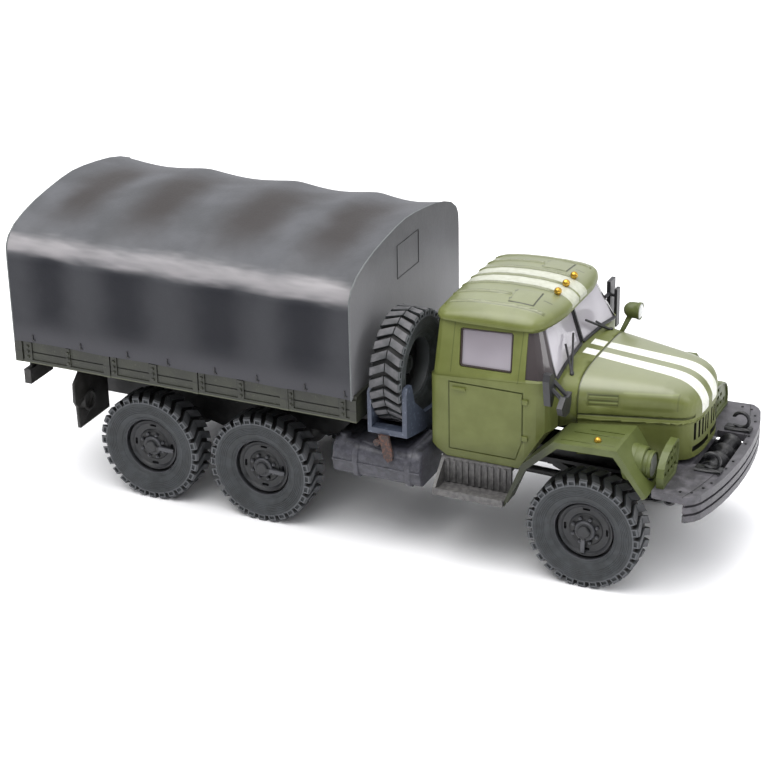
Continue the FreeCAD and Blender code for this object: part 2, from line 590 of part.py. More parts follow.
def window_tools():
    door = prism([(25.6, 45.8), (26.0, 45.4), (37.4, 45.7), (37.8, 46.1), (37.3, 53.7), (36.8, 54.1),
                  (25.5, 53.6), (25.1, 53.2)], "y", -26.0, 26.0)
    back = box(15.0, 22.0, -8.0, 8.0, 46.6, 52.8)
    sill = [(0.4, 46.0), (12.0, 45.7), (18.0, 45.0), (26.0, 44.9), (26.0, 54.4), (0.4, 54.4)]
    ahead = prism([(41.0, 44.0), (40.3, 55.0), (52.0, 55.0), (52.0, 44.0)], "y", -30, 30)
    screens = [prism(points, "x", 40.0, 50.0).common(ahead) for points in (sill, [(-y, z) for y, z in sill])]
    return door, back, screens


LOWER_OUTLINE = whole([(19.0, -20.9), (19.5, -21.9), (20.8, -22.4), (41.2, -22.4), (43.6, -21.9),
                       (45.3, -21.1), (46.4, -19.8), (46.8, -18.2), (47.2, -16.6), (50.6, -15.5)])
DOOR_OUTLINE = ((23.5, 26.0), (23.5, 42.2), (40.8, 42.2), (40.8, 30.6), (39.2, 26.0))


def cab_shell():
    belt = prism([(10.0, BELT_REAR_Z - BELT_SLOPE * 9.0), (60.0, BELT_REAR_Z + BELT_SLOPE * 41.0), (60.0, 60.0),
                  (10.0, 60.0)], "y", -30, 30)
    under = prism([(39.9, 20.0), (39.9, CAB_Z0), (45.3, 33.0), (51.0, 34.2), (51.0, 20.0)], "y", -30, 30)
    chamfer = prism([(18.0, 20.0), (18.0, 27.4), (19.0, 26.8), (23.1, 24.2), (23.1, 20.0)], "y", -30, 30)
    lower = prism(LOWER_OUTLINE, "z", CAB_Z0, 50.0).cut(belt)
    scuttle = hood_loft((43.6, COWL_X1), 0.0, 30.0)
    ahead = scuttle.common(box(46.9, 60.0, -30, 30, 0, 60))
    lower = lower.cut(box(46.9, 60.0, -30, 30, 0, 60)).fuse(ahead).cut(under).cut(chamfer)
    room = prism(inset_outline(LOWER_OUTLINE, CAB_T), "z", CAB_FLOOR_Z, 50.0)
    room = room.cut(prism([(38.6, 20.0), (38.6, CAB_Z0 + 0.9), (44.8, 34.2), (51.0, 35.2), (51.0, 20.0)],
                          "y", -30, 30))
    room = room.cut(box(46.0, 60.0, -30, 30, 10, 60))
    room = room.cut(prism([(18.0, 20.0), (18.0, 28.6), (19.8, 28.2), (24.0, 25.2), (24.0, 20.0)], "y", -30, 30))
    upper = greenhouse(0.0).cut(greenhouse(CAB_T))
    door, back, screens = window_tools()
    for tool in [door, back] + screens:
        upper = upper.cut(tool)
    room = room.cut(box(43.2, 60.0, -30, 30, 44.0, 60))
    cowl = scuttle.common(box(40.0, 46.9, -30, 30, 40.0, 50.0))
    cowl = cowl.cut(greenhouse(CAB_T).cut(box(40, 60, -30, 30, 40, 44.6))).cut(lower)
    lower = lower.cut(room)
    cowl = cowl.cut(room)
    shell = union([lower, cowl, upper.cut(lower)])
    groove = prism(DOOR_OUTLINE, "y", -CAB_HALF - 0.2, -CAB_HALF + 0.3).cut(
        prism([(23.8, 26.3), (23.8, 41.9), (40.5, 41.9), (40.5, 30.7), (39.0, 26.3)], "y", -30, 0))
    shell = shell.cut(groove).cut(mirror_y(groove))
    shell = max(shell.removeSplitter().Solids, key=lambda s: s.Volume)
    export("cab_shell", shell)
    glass = greenhouse(0.25).cut(greenhouse(0.75))
    wind = [glass.common(s) for s in screens]
    side = greenhouse(0.5).cut(greenhouse(0.86)).common(door)
    rear = glass.common(back)
    export("windscreen", [s for w in wind for s in w.Solids])
    export("cab_windows", side.Solids + rear.Solids)
    return shell


ROOF_HALF = ((18.7, 16.4), (19.0, 17.3), (19.4, 18.0), (19.9, 18.65), (20.4, 19.1), (21.5, 19.4), (25.0, 19.6),
             (28.0, 19.58), (31.0, 19.55), (36.0, 19.45), (39.0, 19.3), (40.9, 18.8), (41.8, 18.3), (42.6, 17.5),
             (43.1, 16.75), (43.6, 15.6), (44.0, 14.3), (44.4, 12.4), (44.7, 10.6), (45.0, 8.0))
ROOF_RISE = ((18.7, 1.2), (19.0, 1.6), (19.4, 1.95), (19.9, 2.3), (20.4, 2.6), (21.5, 3.05), (25.0, 3.85),
             (28.0, 4.2), (31.0, 4.4), (36.0, 4.4), (39.0, 4.15), (40.9, 3.85), (42.6, 3.3), (43.6, 2.8),
             (44.4, 2.2), (45.0, 1.5))
ROOF_POWER = 2.4


def roof_loft(extra, inset):
    wires = []
    for x, half in ROOF_HALF:
        half, rise = half - inset, table(ROOF_RISE, x) + extra
        points = []
        for i in range(13):
            t = -math.pi / 2 + math.pi * i / 12
            s, c = math.sin(t), math.cos(t)
            points.append(V(x, half * math.copysign(abs(s) ** (2 / ROOF_POWER), s),
                            GUTTER_Z + 0.4 + (rise - 0.4) * abs(c) ** (2 / ROOF_POWER)))
        curve = Part.BSplineCurve()
        curve.interpolate(points)
        left, right = V(x, -half, GUTTER_Z), V(x, half, GUTTER_Z)
        wires.append(Part.Wire([Part.makeLine(left, points[0]), curve.toShape(),
                                Part.makeLine(points[-1], right), Part.makeLine(right, left)]))
    return Part.makeLoft(wires, True, True)


def cab_roof():
    dome = roof_loft(0.0, 0.0)
    raised = roof_loft(0.35, 0.0)
    ribs = [box(19.4, end, y - 0.25, y + 0.25, 50, 70) for y, end in
            ((-14.45, 42.4), (-9.7, 33.0), (-4.85, 40.8), (0.0, 40.8), (4.85, 40.8), (9.7, 33.0), (14.45, 42.4))]
    hatches = [box(33.6, 39.2, y - 2.95, y + 2.95, 50, 70) for y in (-9.95, 9.95)]
    body = dome
    for tool in ribs:
        body = body.fuse(raised.common(tool))
    for tool in hatches:
        body = body.fuse(roof_loft(0.15, 0.0).common(tool))
    room = prism(inset_outline(GUTTER_OUTLINE, CAB_T), "z", GUTTER_Z - 1, GUTTER_Z + 1.6)
    body = body.cut(room)
    export("cab_roof", max(body.Solids, key=lambda s: s.Volume))


def cab_interior(shell):
    dash = union([prism([(42.2, 35.6), (40.6, 36.4), (40.0, 42.2), (41.2, 43.6), (45.4, 43.6), (45.4, 35.6)],
                        "y", -19.0, 19.0)])
    dash = max(dash.cut(shell).Solids, key=lambda s: s.Volume)
    export("dashboard", dash)
    column = rod(0.5, (41.0, 9.5, 36.6), (37.0, 9.5, 42.4))
    axis = V(-4.0, 0, 5.8)
    wheel = Part.makeTorus(4.2, 0.4, V(37.0, 9.5, 42.4), axis)
    spoke = box(-0.35, 0.35, -4.2, 4.2, -0.3, 0.3)
    spoke2 = box(-4.2, 4.2, -0.35, 0.35, -0.3, 0.3)
    spokes = spoke.fuse(spoke2)
    spokes.rotate(V(0, 0, 0), UNIT_Y, -math.degrees(math.atan2(4.0, 5.8)))
    spokes.translate(V(37.0, 9.5, 42.4))
    body = union([column, wheel, spokes]).cut(dash)
    export("steering_wheel", max(body.Solids, key=lambda s: s.Volume))
    floor_z = CAB_FLOOR_Z
    seats = []
    for y0, y1 in ((-18.0, 3.0), (5.0, 16.0)):
        base = box(24.6, 33.0, y0, y1, floor_z, 33.4)
        back = prism([(21.2, 30.0), (20.4, 44.6), (22.4, 44.9), (24.6, 33.4), (24.6, 30.0)], "y", y0, y1)
        seats.append(union([base, back]))
    export("seats", seats)


def trim():
    beads = [Part.makeSphere(0.85, V(41.8, y, 59.15)) for y in (-4.95, 0, 4.95)]
    stems = [rod(0.4, (41.8, y, 57.8), (41.8, y, 59.0)) for y in (-4.95, 0, 4.95)]
    roof = roof_loft(0.0, 0.0)
    lamps = []
    for bead, stem in zip(beads, stems):
        lamps.append(max(bead.fuse(stem).cut(roof).Solids, key=lambda s: s.Volume))
    wing_beads = [max(Part.makeSphere(0.8, V(58.3, y, 35.1)).cut(
        prism([(49.6, 30.0), (49.6, 34.6), (63.6, 35.1), (63.6, 30.0)], "y", -30, 30)).Solids,
        key=lambda s: s.Volume) for y in (-24.0, 24.0)]
    export("marker_lamps", lamps + wing_beads)
    hinges = []
    for z in (31.6, 40.2):
        hinges.append(box(40.5, 42.0, -CAB_HALF - 0.45, -CAB_HALF, z - 0.5, z + 0.5))
    handle = box(24.5, 27.6, -CAB_HALF - 0.5, -CAB_HALF, 40.4, 41.0)
    export("door_fittings", [s for h in hinges + [handle] for s in both(h)])
    blades = []
    for start, ends in (((48.4, -13.4, 44.3), ((45.7, -5.6, 50.2), (45.6, -10.0, 49.4))),
                        ((48.4, 11.4, 44.6), ((45.7, 2.2, 50.2), (45.8, 8.6, 47.4)))):
        pivot = rod(0.45, (start[0], start[1], start[2] - 0.6), (start[0], start[1], start[2] + 0.5))
        blades.append(union([pivot] + [rod(0.25, start, end) for end in ends]))
    return blades


# right-hand mirror plates: rear face, front face, outline across the truck
MIRROR_PLATES = ((46.1, 47.6, ((-24.9, 46.9), (-23.9, 40.9), (-22.9, 40.5), (-20.6, 43.7), (-21.8, 47.5), (-22.6, 48.1),
                               (-24.2, 48.2))),
                 (49.4, 50.6, ((-25.2, 41.4), (-24.4, 39.5), (-22.6, 38.5), (-20.4, 38.6), (-19.5, 40.3),
                               (-19.1, 42.9), (-21.0, 42.4), (-22.9, 43.1))))


def mirrors(shell):
    right = [prism(points, "x", x0, x1) for x0, x1, points in MIRROR_PLATES]
    right += [rod(0.45, (45.0, -20.4, 46.4), (46.8, -22.8, 46.9)), rod(0.45, (45.0, -20.8, 42.6), (46.8, -22.6, 43.4)),
              rod(0.5, (46.9, -22.5, 44.8), (50.0, -22.0, 41.6)), rod(0.5, (46.9, -21.8, 46.6), (50.0, -20.0, 41.9))]
    left = [box(43.3, 44.2, 22.4, 25.8, 39.9, 51.4), box(45.0, 45.7, 22.8, 24.8, 40.4, 49.6),
            rod(0.42, (43.6, 20.2, 48.4), (43.8, 22.8, 48.4)), rod(0.42, (43.9, 21.4, 42.2), (43.9, 22.8, 42.2)),
            rod(0.35, (43.6, 23.6, 43.0), (45.4, 23.6, 43.0)), rod(0.35, (43.6, 23.6, 47.8), (45.4, 23.6, 47.8))]
    items = [max(union(side).cut(shell).Solids, key=lambda s: s.Volume) for side in (right, left)]
    export("mirrors", items)
    head = V(0, 16.1, 48.2)

    def ring(x, radius, sides=24):
        turns = [2 * math.pi * (i + 0.5) / sides for i in range(sides)]
        corners = [head + V(x, radius * math.cos(a), radius * math.sin(a)) for a in turns]
        return Part.makePolygon(corners + corners[:1])

    lamp = Part.makeLoft([ring(x, r) for x, r in ((49.75, 0.5), (50.1, 1.15), (50.8, 1.7), (51.8, 1.85), (53.0, 1.85),
                                                  (53.1, 2.0), (53.7, 2.0))], True, True)
    lamp = lamp.cut(Part.Face(ring(53.3, 1.65)).extrude(UNIT_X * 2))
    feet = [Part.makePolygon([V(x - h, y - h, z), V(x + h, y - h, z), V(x + h, y + h, z), V(x - h, y + h, z),
                              V(x - h, y - h, z)]) for x, y, z, h in ((50.0, 13.2, 43.2, 0.5), (51.6, 16.0, 47.6, 0.65))]
    post = Part.makeLoft(feet, True, True)
    post = union([post, lamp]).cut(shell)
    export("spotlight", max(post.Solids, key=lambda s: s.Volume))


# ---- load bed -------------------------------------------------------------------------
POST_X = ((-83.6, -81.6), (-59.6, -57.9), (-36.2, -34.9), (-14.1, -12.1), (3.0, 4.6))
STRAP_X = ((-81.2, -79.0), (-69.7, -68.6), (-57.7, -56.1), (-47.6, -45.5), (-34.7, -33.2), (-24.8, -23.2),
           (-12.1, -10.8), (0.4, 2.0))


def load_bed():
    floor = box(BED_X0 + 1.0, BED_X1 - 1.0, -BED_HALF + BED_WALL_T, BED_HALF - BED_WALL_T, BED_Z0,
                BED_Z0 + BED_FLOOR_T)
    export("bed_floor", floor)
    runners = both(box(BED_X0 + 2.0, BED_X1 - 0.6, RAIL_Y_IN, RAIL_Y_OUT, RAIL_Z1, 29.2))
    bearers = [box(x, x + 1.8, -21.5, 21.5, 29.2, BED_Z0) for x in
               (-81.0, -71.5, -59.6, -48.0, -36.4, -25.0, -13.6, 0.6)]
    export("bed_runners", runners)
    export("bed_bearers", bearers)
    wall = box(BED_X0, BED_X1, -BED_HALF, -BED_HALF + BED_WALL_T, BED_Z0, BED_WALL_TOP)
    sill = box(BED_X0, BED_X1, -BED_HALF - 0.25, -BED_HALF, BED_Z0, BED_Z0 + 0.8)
    posts = [box(a, b, -BED_HALF - POST_PROUD, -BED_HALF, BED_Z0, TILT_Z0 - 0.1) for a, b in POST_X]
    straps = [box(a, b, -BED_HALF - 0.25, -BED_HALF, 32.0, 36.6) for a, b in STRAP_X]
    groove = box(BED_X0 - 1, BED_X1 + 1, -BED_HALF - 0.01, -BED_HALF + 0.2, 34.0, 34.3)
    side = union([wall.cut(groove), sill] + posts + straps)
    export("bed_sides", both(side))
    head = box(BED_X1 - 1.0, BED_X1, -BED_HALF + BED_WALL_T, BED_HALF - BED_WALL_T, BED_Z0, BED_WALL_TOP)
    export("headboard", head)
    gate = box(BED_X0, BED_X0 + 1.0, -BED_HALF + BED_WALL_T, BED_HALF - BED_WALL_T, BED_Z0, BED_WALL_TOP)
    export("tailgate", gate)


TILT_PROFILE = ((29.5, TILT_Z0), (29.5, 57.0), (29.3, 60.1), (28.1, 62.2), (25.4, 64.1), (21.4, 65.6),
                (16.3, 66.9), (10.6, 67.8), (5.0, 68.5), (0.0, 68.8))
TILT_STATIONS = ((TILT_X0, 0.0), (-71.5, 0.7), (-59.6, 0.0), (-47.5, 0.75), (-35.4, 0.0), (-24.8, 0.7),
                 (-14.1, 0.0), (-5.2, 0.6), (TILT_X1, 0.0))


def tilt_wire(x, sag, inset, bottom):
    half = []
    for i, (y, z) in enumerate(TILT_PROFILE):
        if i < 2:
            side = inset + (0.5 * sag if i == 1 else 0.25 * sag)
            half.append((y - side, bottom if i == 0 else z))
        else:
            reach = math.hypot(y, z - 30.0)
            half.append((y - (inset + sag) * y / reach, z - (inset + sag) * (z - 30.0) / reach))
    points = [V(x, -y, z) for y, z in half] + [V(x, y, z) for y, z in reversed(half) if y > 1e-6]
    return Part.makePolygon(points + points[:1])


def tilt():
    outer = Part.makeLoft([tilt_wire(x, sag, 0.0, TILT_Z0) for x, sag in TILT_STATIONS], True, True)
    stations = [(TILT_X0 + TILT_T, 0.0)] + list(TILT_STATIONS[1:-1]) + [(TILT_X1 - TILT_T, 0.0)]
    inner = Part.makeLoft([tilt_wire(x, sag, TILT_T, TILT_Z0 - 2) for x, sag in stations], True, True)
    body = outer.cut(inner)
    well = box(BED_X0 - 1, BED_X1 + 1, -BED_HALF, BED_HALF, TILT_Z0 - 3, BED_WALL_TOP)
    lean = prism([(TILT_X0 - 1, 75.0), (TILT_X0 - 1, 60.2), (TILT_X0, 60.2), (TILT_X0 + 2.8, 68.8), (TILT_X0 + 4.9, 75.0)],
                 "y", -40, 40)
    hollow = lean.translated(V(TILT_T, 0, -0.3))
    body = body.cut(well).cut(lean)
    body = body.fuse(outer.common(hollow).cut(lean)).removeSplitter()
    export("tilt", max(body.Solids, key=lambda s: s.Volume))


def rear_fittings():
    flap = prism([(-25.8, 15.0), (-26.0, 20.4), (-27.0, 22.0), (-26.8, 26.6), (-23.8, 29.2), (-12.9, 29.2), (-12.9, 15.0)],
                 "x", -70.2, -69.4)
    ring = rod(2.6, (-70.2, -21.3, 20.5), (-69.1, -21.3, 20.5)).cut(rod(1.8, (-71, -21.3, 20.5), (-68, -21.3, 20.5)))
    body = union([flap, ring])
    export("mudflaps", both(body))
    bracket = union([box(-82.9, -81.1, -27.4, -18.0, 25.0, 28.6)] +
                    [box(-82.5, -81.5, y, y + 1.4, 28.0, BED_Z0) for y in (-25.4, -21.0)])
    export("rear_bumperettes", both(bracket))
    hitch = union([box(-80.2, RAIL_X0, -RAIL_Y_OUT, RAIL_Y_OUT, 20.8, 24.0), box(-81.5, -80.2, -3.0, 3.0, 21.4, 24.0),
                   rod(0.9, (-81.5, 0, 23.2), (-82.4, 0, 23.2))])
    claw = Part.makeTorus(0.85, 0.35, V(-82.4, 0, 23.2), UNIT_Y)
    export("rear_hitch", union([hitch, claw]))
    lamp = box(-83.5, -82.9, -26.2, -22.6, 25.7, 27.9)
    export("tail_lamps", both(lamp))


def main():
    wheel_sets()
    spare_wheel()
    spare_carrier()
    chassis()
    axle_casings()
    springs()
    drive_line()
    exhaust()
    fuel_tanks()
    steps()
    bumper()
    winch()
    tow_hooks()
    wing = front_wings()
    export("front_wings", [s for w in wing for s in both(w)])
    headlamps(wing)
    headlamp_guards()
    hood()
    shell = cab_shell()
    cab_roof()
    cab_interior(shell)
    blades = trim()
    export("wipers", [max(b.cut(shell).Solids, key=lambda s: s.Volume) for b in blades])
    mirrors(shell)
    load_bed()
    tilt()
    rear_fittings()


main()
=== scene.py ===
import json
import math

import bmesh
import bpy
from mathutils import Matrix, Vector


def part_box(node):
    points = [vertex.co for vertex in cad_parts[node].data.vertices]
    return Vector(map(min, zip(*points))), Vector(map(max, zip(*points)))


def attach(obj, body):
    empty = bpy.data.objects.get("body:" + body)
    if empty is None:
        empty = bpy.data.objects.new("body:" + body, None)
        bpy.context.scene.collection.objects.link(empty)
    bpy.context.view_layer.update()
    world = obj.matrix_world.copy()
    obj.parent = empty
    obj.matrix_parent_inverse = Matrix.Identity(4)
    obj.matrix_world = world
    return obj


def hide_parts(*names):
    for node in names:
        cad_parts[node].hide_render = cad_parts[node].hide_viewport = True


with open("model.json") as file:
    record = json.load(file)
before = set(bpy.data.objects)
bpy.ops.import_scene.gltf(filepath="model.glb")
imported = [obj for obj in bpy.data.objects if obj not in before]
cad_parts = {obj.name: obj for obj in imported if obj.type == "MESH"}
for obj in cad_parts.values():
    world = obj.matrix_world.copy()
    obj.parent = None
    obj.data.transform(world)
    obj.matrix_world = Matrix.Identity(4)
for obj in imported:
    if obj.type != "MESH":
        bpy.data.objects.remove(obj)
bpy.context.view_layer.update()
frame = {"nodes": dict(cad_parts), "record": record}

MM = 0.001

# ---- camera and studio -----------------------------------------------
# A long lens looks down on the right front corner of the truck, which stands on a white
# sweep. A wide box hangs over it and the white room is brightest high up and behind, so
# that the ground is dark only right under the truck and its near side stays deep in tone.
AZIMUTH, ELEVATION, ROLL = math.radians(25.50), math.radians(24.60), math.radians(-1.203)
CAMERA_PLACE, SENSOR_WIDTH, FOCAL_LENGTH = (0.19564, -0.41533, 0.23794), 36.0, 102.8
CLIP_NEAR, CLIP_FAR, SWEEP_SIZE = 0.01, 20.0, 6.0
LIGHTS_AIM = Vector((0.0, 0.0, 0.02))
STUDIO_LIGHTS = (  # name, place, size, power in watts, tint
    ("overhead_box", (-0.12, -0.14, 0.74), 0.80, 7.2, (1.0, 0.99, 0.97)),
    ("near_fill", (0.30, -0.70, 0.80), 0.70, 2.2, (0.97, 0.98, 1.0)),
    ("front_fill", (0.80, 0.05, 0.40), 0.45, 1.6, (1.0, 1.0, 1.0)))
back = Vector((math.sin(AZIMUTH) * math.cos(ELEVATION),
               -math.cos(AZIMUTH) * math.cos(ELEVATION), math.sin(ELEVATION)))
level = Vector((math.cos(AZIMUTH), math.sin(AZIMUTH), 0.0))
upright = back.cross(level)
right = level * math.cos(ROLL) + upright * math.sin(ROLL)
up = upright * math.cos(ROLL) - level * math.sin(ROLL)
lens = bpy.data.cameras.new("long_lens")
lens.sensor_width, lens.lens = SENSOR_WIDTH, FOCAL_LENGTH
lens.clip_start, lens.clip_end = CLIP_NEAR, CLIP_FAR
camera = bpy.data.objects.new("long_lens", lens)
bpy.context.scene.collection.objects.link(camera)
turned = Matrix((right, up, back)).transposed().to_4x4()
camera.matrix_world = Matrix.Translation(CAMERA_PLACE) @ turned
bpy.context.scene.camera = camera
bpy.context.scene.view_settings.view_transform = "Standard"

bpy.ops.object.select_all(action="DESELECT")
bpy.ops.mesh.primitive_plane_add(size=SWEEP_SIZE)
sweep = bpy.context.object
sweep.name = "white_sweep"

for name, place, size, power, tint in STUDIO_LIGHTS:
    lamp = bpy.data.lights.new(name, "AREA")
    lamp.shape, lamp.size, lamp.energy, lamp.color = "SQUARE", size, power, tint
    light = bpy.data.objects.new(name, lamp)
    bpy.context.scene.collection.objects.link(light)
    light.location = place
    light.rotation_euler = (Vector(place) - LIGHTS_AIM).to_track_quat("Z", "Y").to_euler()


class Shade:
    """One socket of a finish. Arithmetic on it adds Math nodes, and node() adds any other."""

    def __init__(self, socket):
        self.socket = socket

    def node(self, kind, settings=None, inputs=None, output=0):
        """Add a node of this kind, with its settings and the values or links of its sockets."""
        tree = self.socket.id_data
        made = tree.nodes.new(kind)
        for key, value in (settings or {}).items():
            setattr(made, key, value)
        for key, value in (inputs or {}).items():
            if isinstance(value, Shade):
                tree.links.new(value.socket, made.inputs[key])
            else:
                made.inputs[key].default_value = value
        return Shade(made.outputs[output])

    def sum(self, operation, *values):
        """Add a Math node on these values."""
        return self.node("ShaderNodeMath", {"operation": operation}, dict(enumerate(values)))

    def __add__(self, other): return self.sum("ADD", self, other)
    def __radd__(self, other): return self.sum("ADD", other, self)
    def __sub__(self, other): return self.sum("SUBTRACT", self, other)
    def __rsub__(self, other): return self.sum("SUBTRACT", other, self)
    def __mul__(self, other): return self.sum("MULTIPLY", self, other)
    def __rmul__(self, other): return self.sum("MULTIPLY", other, self)
    def __pow__(self, other): return self.sum("POWER", self, other)
    def __gt__(self, other): return self.sum("GREATER_THAN", self, other)
    def __lt__(self, other): return self.sum("LESS_THAN", self, other)
    def __abs__(self): return self.sum("ABSOLUTE", self)
    def least(self, other): return self.sum("MINIMUM", self, other)
    def most(self, other): return self.sum("MAXIMUM", self, other)
    def root(self): return self.sum("SQRT", self)
    def wave(self): return self.sum("SINE", self)

    def soft(self, low, high):
        """0 below low, 1 above high, and smooth between."""
        return self.node("ShaderNodeMapRange", {"interpolation_type": "SMOOTHSTEP"},
                         {"Value": self, "From Min": low, "From Max": high})

    def near(self, middle, half, edge=0.08):
        """1 within half of the middle, falling to 0 over the edge."""
        return 1.0 - abs(self - middle).soft(half, half + edge)

    def between(self, low, high):
        """1 between two values, 0 outside them."""
        return (self > low) * (self < high)

    def parts(self):
        """The x, y and z of a vector."""
        made = self.node("ShaderNodeSeparateXYZ", {}, {0: self}).socket.node
        return [Shade(made.outputs[i]) for i in range(3)]


room = bpy.data.worlds.new("white_room")
bpy.context.scene.world = room
room.use_nodes = True
backdrop = room.node_tree.nodes["Background"]
backdrop.inputs["Color"].default_value = (0.97, 0.975, 1.0, 1.0)
x, y, z = Shade(room.node_tree.nodes.new("ShaderNodeTexCoord").outputs["Generated"]).parts()
glow = (z + y * 0.34).soft(0.05, 0.80) * 1.20 + 0.02
room.node_tree.links.new(glow.socket, backdrop.inputs["Strength"])


def linear(red, green, blue):
    """A paint-chart colour of 0 to 255 as the shader's linear colour."""
    return tuple(((c / 255 + 0.055) / 1.055) ** 2.4 if c > 10 else c / 255 / 12.92
                 for c in (red, green, blue)) + (1.0,)


def new_finish(name):
    """A bare finish, with the piece's own coordinates in mm, whole and apart."""
    finish = bpy.data.materials.new(name)
    finish.use_nodes = True
    finish.node_tree.nodes.clear()
    place = Shade(finish.node_tree.nodes.new("ShaderNodeTexCoord").outputs["Object"])
    place = place.node("ShaderNodeVectorMath", {"operation": "SCALE"}, {0: place, "Scale": 1 / MM})
    return finish, place, place.parts()


def grain(place, size, detail=3.0, roughness=0.55):
    """Even noise whose lumps are about size mm across, centred on 0.5."""
    return place.node("ShaderNodeTexNoise", {}, {"Vector": place, "Scale": 1.0 / size,
                                                 "Detail": detail, "Roughness": roughness})


def blended(mask, first, second):
    """first where the mask is 0, second where it is 1."""
    return mask.node("ShaderNodeMix", {"data_type": "RGBA"}, {0: mask, 6: first, 7: second}, 2)


def coat(finish, colour, roughness=0.5, height=None, depth=0.03, **fixed):
    """Close a finish: its colour and roughness, and its surface relief, depth in mm."""
    tree = finish.node_tree
    start = Shade(tree.nodes["Separate XYZ"].outputs[0])
    values = {"Base Color": colour, "Roughness": roughness}
    values.update({key.replace("_", " "): value for key, value in fixed.items()})
    if height is not None:
        values["Normal"] = start.node("ShaderNodeBump", {}, {
            "Height": height, "Distance": depth * MM, "Strength": 1.0})
    surface = start.node("ShaderNodeBsdfPrincipled", {}, values)
    tree.links.new(surface.socket, tree.nodes.new("ShaderNodeOutputMaterial").inputs["Surface"])
    return finish


card, place, _ = new_finish("white_card")
paper = blended(grain(place, 40.0), linear(252, 252, 253), linear(249, 249, 251))
sweep.data.materials.append(coat(card, paper, 0.9))

# ---- tyres -----------------------------------------------------------
# Seven soft black tyres, each moulded in one piece: a round carcass with fine rings in its
# walls, and 28 block lugs a side that run from the shoulder to the middle as chevrons.
# Every lug's end is dished, its lip painted pale as a highlight, and painted shade lies dark down
# between the lugs.
# radius, and distance from the tyre's middle plane
WALL = ((6.75, 1.9), (6.85, 2.35), (7.3, 2.75), (7.9, 3.02), (8.5, 3.26), (10.9, 3.62), (11.5, 3.5),
        (11.85, 3.15), (11.95, 2.5))
WALL_RINGS = (7.5, 8.9, 9.3, 9.7, 10.1, 10.5)
RING_DEPTH, RING_HALF = 0.08, 0.10
CROWN_R, CARCASS_STEPS, LUGS = 12.0, 112, 28
LUG_END = ((11.35, 3.35), (11.3, 3.66), (12.6, 3.58), (12.95, 3.25), (12.95, 0.12), (11.8, 0.12))
LUG_WIDTH, LUG_SWEEP, LUG_DROP = 1.75, 1.45, 0.18
LUG_INNER_Y, LUG_TOP_R, DISH_LIP, DISH_DEPTH = 1.0, 12.8, 0.30, 0.28
WELD = 1e-6  # points closer than this, in metres, are one


def take(*pieces):
    """Select these pieces and nothing else, with the first one active."""
    bpy.ops.object.select_all(action="DESELECT")
    for piece in pieces:
        piece.select_set(True)
    bpy.context.view_layer.objects.active = pieces[0]


def settle(piece, finish, body="truck", smooth=None):
    """Bake a finished piece's place into its mesh, give it its finish and let it ride."""
    take(piece)
    bpy.ops.object.transform_apply(location=True, rotation=True, scale=True)
    if smooth:
        bpy.ops.object.shade_smooth_by_angle(angle=math.radians(smooth))
    piece.data.materials.clear()
    piece.data.materials.append(finish)
    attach(piece, body)
    return piece


def start_line(name, points):
    """In edit mode: a vertex at the first point, pulled on through the others, in mm."""
    bpy.ops.object.select_all(action="DESELECT")
    bpy.ops.mesh.primitive_plane_add(size=MM)
    piece = bpy.context.object
    piece.name = piece.data.name = name
    bpy.ops.object.mode_set(mode="EDIT")
    bpy.ops.mesh.merge(type="CENTER")
    points = [Vector(point) * MM for point in points]
    bpy.ops.transform.translate(value=points[0])
    for here, there in zip(points, points[1:]):
        bpy.ops.mesh.extrude_region_move(TRANSFORM_OT_translate={"value": there - here})
    return piece


def turn(name, outline, steps=96):
    """Lathe work: an outline of (radius, along) in mm spun once about the Y axis."""
    piece = start_line(name, [(radius, along, 0.0) for radius, along in outline])
    bpy.ops.mesh.select_all(action="SELECT")
    bpy.ops.mesh.spin(steps=steps, angle=2 * math.pi, center=(0, 0, 0), axis=(0, 1, 0))
    bpy.ops.mesh.select_all(action="SELECT")
    bpy.ops.mesh.remove_doubles(threshold=WELD)
    bpy.ops.mesh.normals_make_consistent(inside=False)
    bpy.ops.object.mode_set(mode="OBJECT")
    return piece


def choose(test, faces=False):
    """Select only what passes the test, by place (vertices) or by middle and normal (faces)."""
    bpy.ops.mesh.select_all(action="DESELECT")
    mesh = bmesh.from_edit_mesh(bpy.context.edit_object.data)
    if faces:
        for face in mesh.faces:
            face.select_set(test(face.calc_center_median() / MM, face.normal))
    else:
        for vertex in mesh.verts:
            vertex.select_set(test(vertex.co / MM))
        mesh.select_flush(True)
    bmesh.update_edit_mesh(bpy.context.edit_object.data)


def join(pieces, name):
    """Make several pieces one mesh under one name."""
    take(*pieces)
    bpy.ops.object.join()
    pieces[0].name = pieces[0].data.name = name
    return pieces[0]


def twin(piece, matrix, flip=False):
    """Another of the same piece with its own mesh, moved by a matrix."""
    other = bpy.data.objects.new(piece.name, piece.data.copy())
    bpy.context.scene.collection.objects.link(other)
    other.data.transform(matrix)
    if flip:
        other.data.flip_normals()
    return other


def wall_at(radius):
    """How far out the plain wall stands at a radius."""
    for (ra, ya), (rb, yb) in zip(WALL, WALL[1:]):
        if ra <= radius <= rb:
            return ya + (yb - ya) * (radius - ra) / (rb - ra)


half = list(WALL)
for ring in WALL_RINGS:
    half += [(ring + step, wall_at(ring + step) - (0.0 if step else RING_DEPTH))
             for step in (-RING_HALF, 0.0, RING_HALF)]
half.sort()
section = [(r, -y) for r, y in half] + [(CROWN_R, 0.0)] + half[::-1]
carcass = turn("carcass", section + section[:1], CARCASS_STEPS)

